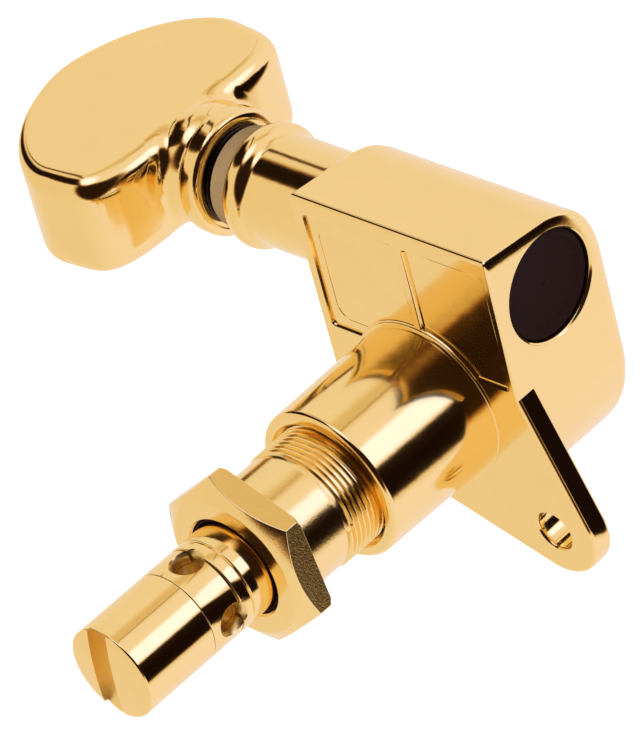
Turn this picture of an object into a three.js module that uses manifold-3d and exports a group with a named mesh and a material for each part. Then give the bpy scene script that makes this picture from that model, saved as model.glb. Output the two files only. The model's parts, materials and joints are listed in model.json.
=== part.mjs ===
// A sealed guitar tuning machine of the locking kind, off its headstock.
//
// Millimetres. The origin is on the face that meets the headstock, on the string post's axis.
// +Z runs up the post, +X along the worm shaft to the button, +Y to the screw ear.
// The gear case hangs below that face, and its flat top looks along -Y.

import * as THREE from 'three';
import { mergeVertices } from 'three/addons/utils/BufferGeometryUtils.js';
import Module from 'manifold-3d';

const wasm = await Module();
wasm.setup();

// Fits
const fitGap = 0.04;            // between pieces pressed or pushed together
const runGap = 0.1;             // between pieces that turn on each other
const seamGap = 0.03;           // between faces that meet in a visible seam
const cutRun = 1;               // how far a cutting body runs past what it cuts
const weldGap = 0.0001;         // points nearer than this are one point

// Worm and wheel
const wheelTeeth = 18;
const toothModule = 0.55;
const pressureAngle = THREE.MathUtils.degToRad(20);
const wormPitchRadius = 2.75;
const addendumShare = 0.9;      // tooth height over the pitch line, of a module
const dedendumShare = 1.1;      // tooth depth under the pitch line, of a module
const toothPlay = 0.12;         // gap along the pitch line between worm and wheel
const wheelThickness = 3;
const wheelPitchRadius = wheelTeeth * toothModule / 2;
const wheelTipRadius = wheelPitchRadius + toothModule * addendumShare;
const wheelRootRadius = wheelPitchRadius - toothModule * dedendumShare;
const wormTipRadius = wormPitchRadius + toothModule * addendumShare;
const wormRootRadius = wormPitchRadius - toothModule * dedendumShare;
const toothPitch = toothModule * Math.PI;
const shaftOffset = wheelPitchRadius + wormPitchRadius;   // from the post's axis, along -Y
const shaftDepth = 4.5;                                   // below the headstock face

// Wheel end of the post, downwards from the wheel
const wheelTopZ = -shaftDepth + wheelThickness / 2;
const wheelFootZ = -shaftDepth - wheelThickness / 2;
const thrustRingLength = 0.3;
const thrustRingOutRadius = 4.9;
const wheelRoomGap = 0.2;
const wheelRoomRadius = wheelTipRadius + wheelRoomGap;
const wheelRoomRoofZ = wheelTopZ + thrustRingLength + runGap;
const lockWasherRadius = 2.5;
const lockWasherLength = 0.35;
const wheelScrewRadius = 0.9;
const wheelScrewHeadRadius = 2.1;
const wheelScrewHeadLength = 1.1;
const wheelScrewLength = 3.6;
const wheelScrewSeatZ = wheelFootZ - 2 * fitGap - lockWasherLength;
const screwHeadRoom = 1.12;     // between that screw's head and the cover
const coverThickness = 0.75;
const coverLedge = 0.25;
const coverDishRadius = 4.2;
const coverDishDepth = 0.2;
const coverEdgeRound = 0.15;

// String post: axial bores and walls, from the post outwards to the collar
const postRadius = 3;
const postBoreRadius = postRadius + runGap;
const bushingBoreGap = 0.2;
const bushingBoreRadius = postRadius + bushingBoreGap;
const bushingWall = 0.42;       // from that bore to the thread's root
const threadDepth = 0.38;
const shankStep = 0.12;         // from the thread's crest down to the plain shank
const threadRootRadius = bushingBoreRadius + bushingWall;
const threadRadius = threadRootRadius + threadDepth;
const shankRadius = threadRadius - shankStep;
const collarWall = 0.96;

// Gear case, collar, barrel and ear: one casting
const caseWall = 1.705;         // round the cover, at the thinnest
const caseTopWall = 1.3;        // over the shaft's end bore
const endBoreRadius = 3.4;
const caseHalfWidth = wheelRoomRadius + coverLedge + caseWall;  // also the round end's radius
const caseTop = shaftOffset + endBoreRadius + caseTopWall;      // post's axis to the flat top
const caseDepth = coverThickness + screwHeadRoom + wheelScrewHeadLength - wheelScrewSeatZ;
const caseBackRound = 1.2;
const caseTopRound = 4.1;       // where the flat top rolls into the back
const caseTopDraft = 0.6;       // how far the flat top leans in by the start of that round
const collarLength = 8.9;
const collarMouthRadius = threadRadius + fitGap + collarWall;
const collarTaper = 0.13;
const collarBaseRadius = collarMouthRadius + collarTaper;
const collarEdgeRound = 0.35;
const collarRingStep = 0.22;
const collarRingRadius = collarBaseRadius + collarRingStep;     // low step round its foot
const collarRingRise = 0.12;
const earThickness = 1.6;
const earHoleX = 7.9;           // from the post's axis, along -X
const earHoleY = 7;
const earTipRadius = 3;
const earHoleRadius = 1.25;
const earHoleChamfer = 0.2;
const earRootY = -2.5;          // where the ear's long side leaves the end face
const barrelLength = 7.4;
const barrelEndX = caseHalfWidth + barrelLength;
const barrelWaistLength = 3.4;
const barrelWaistX = caseHalfWidth + barrelWaistLength;
const barrelWaistRadius = 3.45;
const barrelFlareRadius = 3.95; // where it meets the case
const barrelFlareLength = 0.7;
const flangeRadius = 3.95;
const flangeLength = 0.8;
const flangeNoseLength = 0.8;   // from the flange to the barrel's mouth
const flangeBackX = barrelEndX - flangeNoseLength - flangeLength;
const flangeFaceRadius = 3.5;
const recessDepth = 0.45;
const recessTopWall = 1.2;
const recessOuterWall = 0.7;    // on the button side
const recessEndWall = 0.5;      // on the end face side
const recessTopY = -caseTop + recessTopWall;
const recessFootY = -3;
const recessOuterX = caseHalfWidth - recessOuterWall;
const recessEndX = -caseHalfWidth + recessEndWall;
const ribX = -0.6;              // middle of the rib between the two recesses
const ribWidth = 0.55;
const panelDepth = 0.1;         // shallow step inside the first recess
const panelInset = 0.7;
const panelRound = 1;

// Shaft line, lengths along X from the post's axis
const plugSunk = 0.3;           // from the end face to the plug
const plugFaceX = -caseHalfWidth + plugSunk;
const plugLength = 1.2;
const plugRimWidth = 0.4;
const plugDish = 0.25;
const plugDimpleRadius = 0.18;
const endBoreChamfer = 0.3;
const bushLength = 1.4;
const bushX = plugFaceX + plugLength + fitGap;
const washerThickness = 0.3;
const springRoom = 0.46;        // for the coned washer between bush and worm
const wormRearLength = -bushX - bushLength - springRoom;
const wormFrontLength = 4;      // from the post's axis to the worm's end on the button side
const frontWasherThickness = 0.5;
const endBoreFrontX = wormFrontLength + frontWasherThickness + runGap;
const shaftRadius = 2;
const shaftFlatHalf = 1.5;
const journalRadius = 1.5;
const journalInset = 0.15;      // from the bush's outer face to the journal's end
const journalEndX = bushX + journalInset;
const sealPocketRadius = 2.95;
const sealPocketLength = 1.1;
const sealRingRadius = 2.5;
const sealSectionRadius = 0.38;
const nylonX = barrelEndX + fitGap;
const nylonRadius = 3.12;
const nylonLength = 1.5;
const springX = nylonX + nylonLength + fitGap;
const springWasherLength = 0.4;
const neckStandOff = 0.37;      // from the spring washer's foot to the neck's face
const neckFaceX = springX + neckStandOff;
const neckLength = 3.15;
const neckRecessRadius = 3.3;
const lipRadius = 3.95;
const lipLength = 1.5;
const lipRound = 0.35;
const neckGrooveRadius = 3.45;
const neckGrooveLength = 0.35;
const neckRadius = 3.75;
const neckBlendLength = 1.2;    // where the neck draws in to the button's thickness
const neckSunk = 0.5;           // how far it runs into the button

// Button: a half-moon plate seen along Y
const buttonBackX = neckFaceX + neckLength;     // nearly straight side, toward the case
const buttonBackReach = 5.1;    // from that side to where it is widest
const buttonTipReach = 6.1;     // from there to the top of the curved side
const buttonWideX = buttonBackX + buttonBackReach;
const buttonTipX = buttonWideX + buttonTipReach;
const buttonHalfWidth = 8.85;
const buttonThickness = 6.5;
const buttonEdgeRound = 0.7;
const buttonBackPower = 3.6;    // how square the straight side's corners are
const buttonTipPower = 1.85;    // how round the curved side is
const shaftFlatLength = 6.3;
const shaftEndX = buttonWideX - neckStandOff;
const shaftFlatX = shaftEndX - shaftFlatLength;
const screwHeadRadius = 2.2;
const screwHeadLength = 1.5;
const screwHeadSunk = 2.9;      // from the button's tip to the screw's seat
const screwSeatX = buttonTipX - screwHeadSunk;
const screwShankRadius = 1.2;
const screwReach = 4.1;         // how far the screw runs into the shaft
const screwEndX = shaftEndX - screwReach;
const screwSlotWidth = 0.6;
const screwSlotDepth = 0.7;
const screwHeadRound = 0.4;

// Hex bushing, upwards from the collar's mouth
const hexStandOff = 6.1;
const hexThickness = 2;
const hexBackZ = collarLength + hexStandOff;
const hexFrontZ = hexBackZ + hexThickness;
const hexFlatWidth = 2 * collarMouthRadius;
const hexTurn = THREE.MathUtils.degToRad(-20);
const hexChamferWidth = 0.5;    // of the round edge on the front face, from the flats
const hexChamferRadius = hexFlatWidth / 2 - hexChamferWidth;
const hexChamferDrop = 0.9;     // from that face to a corner
const hexBackChamferDrop = 0.2;
const threadPitch = 0.75;
const threadRootShare = 0.36;   // half a ridge's width at its root, of the pitch
const threadTipShare = 0.06;    // half its width at its crest
const threadShown = 2.2;        // how much of the thread stands out of the collar
const threadLength = 6.9;
const threadEndZ = collarLength + threadShown;
const threadStartZ = threadEndZ - threadLength;
const tappedRoom = 2.7;         // under the bushing's foot, in the collar's wide bore
const tappedFloorZ = threadStartZ - tappedRoom;
const tappedChamfer = 0.3;
const bearingPocketDepth = 1.6;
const bearingPocketZ = hexFrontZ - bearingPocketDepth;
const bearingWall = 0.58;
const bearingPocketRadius = postRadius + bearingWall;
const bearingLength = 1.1;
const bearingGap = 0.06;        // between the bearing and the post
const pocketChamfer = 0.15;

// Post's free end, lock sleeve and cap, upwards from the hex
const grooveRise = 1.5;
const postGrooveZ = hexFrontZ + grooveRise;
const grooveWidth = 0.16;
const grooveDepth = 0.12;
const shoulderRise = 1;
const sleeveZ = postGrooveZ + shoulderRise;
const sleeveLength = 2.34;
const sleeveTopZ = sleeveZ + seamGap + sleeveLength;
const sleeveWall = 0.8;
const spindleRadius = postRadius - sleeveWall;
const holeRise = 0.9;
const holeZ = sleeveZ + holeRise;
const holeRadius = 1.15;
const holeTurn = THREE.MathUtils.degToRad(-4);
const ringGrooveRise = 0.73;
const ringGrooveZ = sleeveTopZ + ringGrooveRise;
const ringGrooveLength = 0.4;
const ringGrooveDepth = 0.35;
const snapRingLength = 0.28;
const snapRingStep = 0.3;
const snapRingOutRadius = spindleRadius + snapRingStep;
const spindleNose = 0.6;         // past that groove
const spindleTopZ = ringGrooveZ + ringGrooveLength + spindleNose;
const capSpringRoom = 0.65;
const capSpringBoreRadius = 0.73;
const capRoofZ = spindleTopZ + capSpringRoom;
const capRoofThickness = 3.15;
const capEndZ = capRoofZ + capRoofThickness;
const capRound = 0.35;
const capSlotWidth = 1.3;
const capSlotDepth = 1.4;
const capSlotTurn = THREE.MathUtils.degToRad(84);
const capSlotShift = 0.45;      // the slot lies off the middle, toward the button
const keyPinRadius = 0.2;
const keyPinLength = 1;
const keyPinTurn = THREE.MathUtils.degToRad(41);
const tenonRadius = 2;
const tenonFlatHalf = 1.5;
const tenonSunk = 0.3;          // from the wheel's lower face up to the tenon's end
const tenonFootZ = wheelFootZ + tenonSunk;

// Counts
const roundSteps = 24;
const fineSteps = 36;
const threadSteps = 16;         // per turn of the fine thread
const wormSteps = 20;           // per turn of the worm
const roundingSteps = 2;
const flankSteps = 2;           // along a wheel tooth's flank
const wheelLayers = 2;          // across the wheel's face
const sealSteps = 8;            // round the seal's section

// Gold plate, brass, steel, plastics and rubber
const finish = (color, metalness, roughness) =>
  new THREE.MeshStandardMaterial({ color, metalness, roughness });
const goldPlate = finish('#e8b866', 1, 0.12);
const brass = finish('#c79a45', 1, 0.35);
const steel = finish('#b9bcc0', 1, 0.3);
const blackPlastic = finish('#1a1210', 0, 0.4);
const nylon = finish('#d8cab8', 0, 0.5);
const rubber = finish('#191818', 0, 0.8);

// Solids from geometry and back

function toSolid(geometry) {
  const bare = new THREE.BufferGeometry();
  bare.setAttribute('position', geometry.getAttribute('position'));
  bare.setIndex(geometry.index);
  const merged = mergeVertices(bare, weldGap);
  const index = merged.index.array;
  const triangles = [];
  for (let i = 0; i < index.length; i += 3) {
    const [a, b, c] = [index[i], index[i + 1], index[i + 2]];
    if (a !== b && b !== c && c !== a) triangles.push([a, b, c]);
  }
  const build = (flip) => new wasm.Manifold(new wasm.Mesh({
    numProp: 3,
    vertProperties: Float32Array.from(merged.getAttribute('position').array),
    triVerts: Uint32Array.from(triangles.flatMap(([a, b, c]) => (flip ? [a, c, b] : [a, b, c]))),
  }));
  const solid = build(false);
  return solid.volume() > 0 ? solid : build(true);
}

function toGeometry(solid) {
  const mesh = solid.getMesh();
  const places = new Float32Array(mesh.numVert * 3);
  for (let i = 0; i < mesh.numVert; i += 1) {
    for (let k = 0; k < 3; k += 1) places[3 * i + k] = mesh.vertProperties[mesh.numProp * i + k];
  }
  const geometry = new THREE.BufferGeometry();
  geometry.setAttribute('position', new THREE.BufferAttribute(places, 3));
  geometry.setIndex(new THREE.BufferAttribute(Uint32Array.from(mesh.triVerts), 1));
  geometry.computeVertexNormals();
  return geometry;
}

const join = (...solids) => solids.reduce((whole, solid) => whole.add(solid));
const cut = (solid, ...tools) => tools.reduce((rest, tool) => rest.subtract(tool), solid);

// Turned pieces: a profile of [radius, height] points, revolved about Z
function turned(profile, steps = roundSteps) {
  const points = profile.map(([radius, height]) => new THREE.Vector2(radius, height));
  return new THREE.LatheGeometry(points, steps).rotateX(Math.PI / 2);
}

// A solid rod and a ring of square section, from low to high
const rod = (radius, low, high, steps = roundSteps) =>
  toSolid(turned([[0, low], [radius, low], [radius, high], [0, high]], steps));
const ring = (inner, outer, low, high, steps = roundSteps) =>
  toSolid(turned([[inner, low], [outer, low], [outer, high], [inner, high], [inner, low]], steps));
const cone = (lowRadius, low, highRadius, high, steps = roundSteps) =>
  toSolid(turned([[0, low], [lowRadius, low], [highRadius, high], [0, high]], steps));
const turnedSolid = (profile, steps) => toSolid(turned(profile, steps));

// A quarter round on a profile, from its start angle to its end angle
function corner(radius, height, round, from, to) {
  const points = [];
  for (let i = 0; i <= roundingSteps; i += 1) {
    const angle = THREE.MathUtils.degToRad(from + (to - from) * i / roundingSteps);
    points.push([radius + round * Math.cos(angle), height + round * Math.sin(angle)]);
  }
  return points;
}

// Z to X, for pieces on the shaft line
const alongX = (solid) => solid.rotate([0, 90, 0]);

function box(width, depth, height, x, y, z) {
  return toSolid(new THREE.BoxGeometry(width, depth, height).translate(x, y, z));
}

function extruded(shape, low, high) {
  const geometry = new THREE.ExtrudeGeometry(shape, {
    depth: high - low,
    bevelEnabled: false,
    curveSegments: fineSteps / 4,
  });
  return toSolid(geometry.translate(0, 0, low));
}

// A rod with two flats, for the square ends of shaft and post
const flattedRod = (radius, half, low, high) =>
  rod(radius, low, high).intersect(
    box(4 * radius, 2 * half, high - low + cutRun, 0, 0, (low + high) / 2));

// A right-handed screw ridge about Z with its roots sunk into the rod that carries it.
// It fades into that rod over the last half turn at each end.
function screwRidge({ root, tip, halfRoot, halfTip, pitch, low, high, steps }) {
  const count = Math.round((high - low) / pitch * steps);
  const sunk = root - (tip - root) / 4;
  const sinkHalf = halfRoot + (halfRoot - halfTip) / 4;
  const points = [];
  for (let i = 0; i <= count; i += 1) {
    const angle = 2 * Math.PI * i / steps;
    const z = low + pitch * i / steps;
    const fade = Math.min(1, (i + 0.5) / (steps / 2), (count - i + 0.5) / (steps / 2));
    const crest = sunk + (tip - sunk) * fade;
    for (const [radius, height] of [
      [sunk, z - sinkHalf], [crest, z - halfTip], [crest, z + halfTip], [sunk, z + sinkHalf]]) {
      points.push(radius * Math.cos(angle), radius * Math.sin(angle), height);
    }
  }
  const index = [];
  for (let i = 0; i < count; i += 1) {
    for (let k = 0; k < 4; k += 1) {
      const [a, b] = [4 * i + k, 4 * i + (k + 1) % 4];
      index.push(a, b, b + 4, a, b + 4, a + 4);
    }
  }
  const last = 4 * count;
  index.push(0, 2, 1, 0, 3, 2, last, last + 1, last + 2, last, last + 2, last + 3);
  const geometry = new THREE.BufferGeometry();
  geometry.setAttribute('position', new THREE.Float32BufferAttribute(points, 3));
  geometry.setIndex(index);
  return toSolid(geometry);
}

// Gear case: the outline seen along Z, rounded at the back, met by the side view's outline

function caseBody() {
  const plan = new THREE.Shape();
  plan.moveTo(-caseHalfWidth, 0);
  plan.lineTo(-caseHalfWidth, -caseTop);
  plan.lineTo(caseHalfWidth, -caseTop);
  plan.lineTo(caseHalfWidth, 0);
  plan.absarc(0, 0, caseHalfWidth, 0, Math.PI);
  const block = new THREE.ExtrudeGeometry(plan, {
    depth: caseDepth,
    bevelThickness: caseBackRound,
    bevelSize: caseBackRound,
    bevelOffset: -caseBackRound,
    bevelSegments: roundingSteps,
    curveSegments: fineSteps / 2,
  });
  const upright = toSolid(block.translate(0, 0, caseBackRound - caseDepth));

  const side = new THREE.Shape();
  const roundTopY = -caseTop + caseTopDraft;
  side.moveTo(-caseTop, 0);
  side.lineTo(roundTopY, caseTopRound - caseDepth);
  side.absarc(roundTopY + caseTopRound, caseTopRound - caseDepth, caseTopRound,
    Math.PI, 1.5 * Math.PI);
  side.lineTo(caseHalfWidth + cutRun, -caseDepth);
  side.lineTo(caseHalfWidth + cutRun, 0);
  const bar = new THREE.ExtrudeGeometry(side, {
    depth: 2 * caseHalfWidth + 2 * cutRun,
    bevelEnabled: false,
    curveSegments: 2 * roundingSteps,
  });
  // the side view is drawn in (Y, Z), so its plane is stood up and its depth laid along X
  bar.applyMatrix4(new THREE.Matrix4().makeBasis(
    new THREE.Vector3(0, 1, 0), new THREE.Vector3(0, 0, 1), new THREE.Vector3(1, 0, 0)));
  const profile = toSolid(bar.translate(-caseHalfWidth - cutRun, 0, 0));
  return upright.intersect(profile);
}

// Ear: the tip's circle and the round end, held together by their common tangent
function ear() {
  const reach = Math.hypot(earHoleX, earHoleY);
  const lean = Math.atan2(earHoleY, -earHoleX);
  const tangent = lean - Math.acos((caseHalfWidth - earTipRadius) / reach);
  const rootX = earHoleX - caseHalfWidth;
  const rootReach = Math.hypot(rootX, earHoleY - earRootY);
  const rootLean = Math.atan2(earRootY - earHoleY, rootX);
  const sideTangent = rootLean - Math.acos(earTipRadius / rootReach);
  const shape = new THREE.Shape();
  shape.moveTo(0, 0);
  shape.lineTo(caseHalfWidth * Math.cos(tangent), caseHalfWidth * Math.sin(tangent));
  shape.absarc(-earHoleX, earHoleY, earTipRadius, tangent, sideTangent + 2 * Math.PI);
  shape.lineTo(-caseHalfWidth, earRootY);
  const hole = join(
    rod(earHoleRadius, -earThickness - cutRun, cutRun),
    cone(earHoleRadius, -earHoleChamfer, earHoleRadius + earHoleChamfer, 0),
    rod(earHoleRadius + earHoleChamfer, 0, cutRun));
  return {
    plate: extruded(shape, -earThickness, 0),
    hole: hole.translate([-earHoleX, earHoleY, 0]),
  };
}

function collar() {
  return turnedSolid([
    [0, -caseDepth / 2],
    [collarRingRadius, -caseDepth / 2],
    [collarRingRadius, 0],
    [collarBaseRadius, collarRingRise],
    [collarMouthRadius, collarLength - collarEdgeRound],
    ...corner(collarMouthRadius - collarEdgeRound, collarLength - collarEdgeRound,
      collarEdgeRound, 0, 90).slice(1),
    [0, collarLength],
  ], fineSteps);
}

function barrel() {
  const insideX = caseHalfWidth - cutRun;
  return alongX(turnedSolid([
    [0, insideX],
    [barrelFlareRadius, insideX],
    [barrelFlareRadius, caseHalfWidth],
    [(barrelFlareRadius + barrelWaistRadius) / 2, caseHalfWidth + barrelFlareLength / 3],
    [barrelWaistRadius, caseHalfWidth + barrelFlareLength],
    [barrelWaistRadius, barrelWaistX],
    [(barrelWaistRadius + flangeRadius) / 2, (barrelWaistX + 2 * flangeBackX) / 3],
    [flangeRadius, flangeBackX],
    [flangeRadius, flangeBackX + flangeLength],
    [flangeFaceRadius, barrelEndX],
    [0, barrelEndX],
  ])).translate([0, -shaftOffset, -shaftDepth]);
}

// The two shallow recesses in the headstock face, kept clear of the collar's foot
function recesses() {
  const keep = rod(collarRingRadius + runGap, -caseDepth / 2, cutRun, fineSteps);
  const height = recessTopY - recessFootY;
  const middleY = (recessTopY + recessFootY) / 2;
  const pocket = (fromX, toX) => cut(
    box(toX - fromX, -height, 2 * recessDepth, (fromX + toX) / 2, middleY, 0), keep);
  const panelFromX = ribX + ribWidth / 2 + panelInset;
  const panelToX = recessOuterX - panelInset;
  const panel = new THREE.Shape();
  panel.moveTo(panelFromX, recessFootY);
  panel.lineTo(panelFromX, recessTopY + panelInset + panelRound);
  panel.absarc(panelFromX + panelRound, recessTopY + panelInset + panelRound, panelRound,
    Math.PI, 1.5 * Math.PI);
  panel.lineTo(panelToX, recessTopY + panelInset);
  panel.lineTo(panelToX, recessFootY - panelInset);
  panel.lineTo(panelFromX + panelRound, recessFootY - panelInset);
  return [
    pocket(ribX + ribWidth / 2, recessOuterX),
    pocket(recessEndX, ribX - ribWidth / 2),
    cut(extruded(panel, -recessDepth - panelDepth, 0), keep),
  ];
}

// All that is bored out of the casting
function caseBores() {
  const shaftLine = [0, -shaftOffset, -shaftDepth];
  const endX = -caseHalfWidth;
  const endBore = join(
    rod(endBoreRadius, endX - cutRun, endBoreFrontX),
    cone(endBoreRadius + endBoreChamfer + cutRun, endX - cutRun,
      endBoreRadius, endX + endBoreChamfer));
  const shaftBore = rod(shaftRadius + runGap, endBoreFrontX - cutRun, barrelEndX + cutRun);
  const sealPocket = rod(sealPocketRadius, barrelEndX - sealPocketLength, barrelEndX + cutRun);
  const wheelRoom = rod(wheelRoomRadius, -caseDepth - cutRun, wheelRoomRoofZ, fineSteps);
  const coverSeat = rod(wheelRoomRadius + coverLedge, -caseDepth - cutRun,
    -caseDepth + coverThickness, fineSteps);
  const postBore = rod(postBoreRadius, wheelRoomRoofZ - cutRun, collarLength);
  const tapped = rod(threadRadius + fitGap, tappedFloorZ, collarLength + cutRun, fineSteps);
  const mouth = cone(threadRadius + fitGap, collarLength - tappedChamfer,
    threadRadius + fitGap + tappedChamfer + cutRun, collarLength + cutRun, fineSteps);
  return [
    ...[endBore, shaftBore, sealPocket].map((tool) => alongX(tool).translate(shaftLine)),
    wheelRoom, coverSeat, postBore, tapped, mouth,
  ];
}

function housing() {
  const { plate, hole } = ear();
  const casting = join(caseBody(), plate, barrel());
  return cut(join(cut(casting, ...recesses()), collar()), hole, ...caseBores());
}

// Pressed disc that closes the wheel's room
function gearCover() {
  const radius = wheelRoomRadius + coverLedge - fitGap;
  const innerZ = -caseDepth + coverThickness - fitGap;
  const outerZ = -caseDepth;
  return turnedSolid([
    [0, outerZ + coverDishDepth],
    [coverDishRadius, outerZ + coverDishDepth],
    [coverDishRadius + coverDishDepth, outerZ],
    [radius - coverEdgeRound, outerZ],
    [radius, outerZ + coverEdgeRound],
    [radius, innerZ],
    [0, innerZ],
  ], fineSteps);
}

// Shaft line, drawn about Z and laid along X

function endPlug() {
  const radius = endBoreRadius - fitGap;
  const dishRadius = radius - plugRimWidth;
  const dishX = plugFaceX + plugDish;
  return turnedSolid([
    [0, dishX + plugDimpleRadius],
    [plugDimpleRadius, dishX],
    [dishRadius - plugDish, dishX],
    [dishRadius, plugFaceX],
    [radius - plugDish, plugFaceX],
    [radius, plugFaceX + plugDish],
    [radius, plugFaceX + plugLength],
    [0, plugFaceX + plugLength],
  ]);
}

const endBush = () =>
  ring(journalRadius + runGap, endBoreRadius - fitGap, bushX, bushX + bushLength);

// A coned spring washer fills the play behind the worm
function rearThrustWasher() {
  const low = bushX + bushLength + fitGap;
  const high = -wormRearLength - fitGap;
  const inner = journalRadius + runGap;
  const outer = wormTipRadius - runGap;
  return turnedSolid([
    [inner, high - washerThickness],
    [outer, low],
    [outer, low + washerThickness],
    [inner, high],
    [inner, high - washerThickness],
  ]);
}

function wormShaft() {
  const body = join(
    rod(journalRadius, journalEndX, -wormRearLength + cutRun),
    rod(wormRootRadius, -wormRearLength, wormFrontLength, wormSteps),
    rod(shaftRadius, wormFrontLength - cutRun, shaftFlatX),
    flattedRod(shaftRadius, shaftFlatHalf, shaftFlatX - cutRun, shaftEndX));
  const flank = Math.tan(pressureAngle);
  const halfPitchLine = toothPitch / 4 - toothPlay / 4;
  const thread = screwRidge({
    root: wormRootRadius,
    tip: wormTipRadius,
    halfRoot: halfPitchLine + toothModule * dedendumShare * flank,
    halfTip: halfPitchLine - toothModule * addendumShare * flank,
    pitch: toothPitch,
    low: -2 * toothPitch - toothPitch / 4,
    high: 2 * toothPitch - toothPitch / 4,
    steps: wormSteps,
  }).intersect(rod(wormTipRadius + cutRun, -wormRearLength, wormFrontLength));
  const tapped = rod(screwShankRadius + fitGap, screwEndX - cutRun / 2, shaftEndX + cutRun);
  return cut(join(body, thread), tapped);
}

const frontThrustWasher = () => ring(shaftRadius + runGap, endBoreRadius - runGap,
  wormFrontLength + fitGap, wormFrontLength + fitGap + frontWasherThickness);

// Rubber ring of round section in the barrel's mouth
function shaftSeal() {
  const middleX = barrelEndX - sealPocketLength / 2;
  const section = [];
  for (let i = 0; i <= sealSteps; i += 1) {
    const angle = 2 * Math.PI * i / sealSteps;
    section.push([sealRingRadius + sealSectionRadius * Math.cos(angle),
      middleX + sealSectionRadius * Math.sin(angle)]);
  }
  return turnedSolid(section);
}

const buttonWasher = () => ring(shaftRadius + runGap, nylonRadius, nylonX, nylonX + nylonLength);

function buttonSpringWasher() {
  const inner = shaftRadius + runGap;
  const outer = nylonRadius - runGap;
  return turnedSolid([
    [inner, springX],
    [outer, springX + springWasherLength / 2],
    [outer, springX + springWasherLength],
    [inner, springX + springWasherLength / 2],
    [inner, springX],
  ]);
}

// Half-moon outline in the X-Z plane: one power curve on each side of its widest line
function buttonOutline() {
  const outline = [];
  for (let i = 0; i < fineSteps; i += 1) {
    const angle = 2 * Math.PI * (i + 0.5) / fineSteps;
    const [c, s] = [Math.cos(angle), Math.sin(angle)];
    const power = c > 0 ? buttonTipPower : buttonBackPower;
    const reach = c > 0 ? buttonTipX - buttonWideX : buttonWideX - buttonBackX;
    outline.push(new THREE.Vector2(
      buttonWideX + Math.sign(c) * reach * Math.abs(c) ** (2 / power),
      Math.sign(s) * buttonHalfWidth * Math.abs(s) ** (2 / power)));
  }
  return new THREE.Shape(outline);
}

function buttonNeck() {
  const lipBackX = neckFaceX + lipLength;
  const grooveBackX = lipBackX + neckGrooveLength;
  return alongX(turnedSolid([
    [0, neckFaceX],
    ...corner(lipRadius - lipRound, neckFaceX + lipRound, lipRound, -90, 0),
    ...corner(lipRadius - lipRound, lipBackX - lipRound, lipRound, 0, 90),
    [neckGrooveRadius, lipBackX],
    [neckGrooveRadius, grooveBackX],
    [neckRadius, grooveBackX],
    [neckRadius, buttonBackX + neckSunk - neckBlendLength],
    [buttonThickness / 2 - buttonEdgeRound / 2, buttonBackX + neckSunk],
    [0, buttonBackX + neckSunk],
  ]));
}

function button() {
  const plate = new THREE.ExtrudeGeometry(buttonOutline(), {
    depth: buttonThickness - 2 * buttonEdgeRound,
    bevelThickness: buttonEdgeRound,
    bevelSize: buttonEdgeRound,
    bevelOffset: -buttonEdgeRound,
    bevelSegments: roundingSteps,
  });
  // drawn in (X, Z) and stood up, so its depth runs along -Y
  plate.rotateX(Math.PI / 2).translate(0, buttonThickness / 2 - buttonEdgeRound, 0);
  const recessFloorX = springX + springWasherLength + fitGap;
  const bores = [
    rod(neckRecessRadius, neckFaceX - cutRun, recessFloorX),
    rod(shaftRadius + fitGap, recessFloorX - cutRun, shaftFlatX + fitGap),
    flattedRod(shaftRadius + fitGap, shaftFlatHalf + fitGap, shaftFlatX, shaftEndX + fitGap),
    rod(screwShankRadius + runGap, shaftEndX, screwSeatX + cutRun),
    rod(screwHeadRadius + runGap, screwSeatX, buttonTipX + cutRun),
  ].map(alongX);
  return cut(join(toSolid(plate), buttonNeck()), ...bores);
}

// Slotted screw drawn about Z: its head sits on seat and its end lies at end
function slottedScrew({ shank, head, headLength, headRound, seat, end, slotWidth, slotDepth }) {
  const up = Math.sign(seat - end);
  const top = seat + up * headLength;
  const body = turnedSolid([
    [0, end],
    [shank, end],
    [shank, seat],
    [head, seat],
    [head, top - up * headRound],
    [head - headRound, top],
    [0, top],
  ]);
  return cut(body, box(4 * head, slotWidth, 2 * slotDepth, 0, 0, top));
}

const buttonScrew = () => slottedScrew({
  shank: screwShankRadius,
  head: screwHeadRadius,
  headLength: screwHeadLength,
  headRound: screwHeadRound,
  seat: screwSeatX + fitGap,
  end: screwEndX,
  slotWidth: screwSlotWidth,
  slotDepth: screwSlotDepth,
});

// Hex bushing

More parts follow.
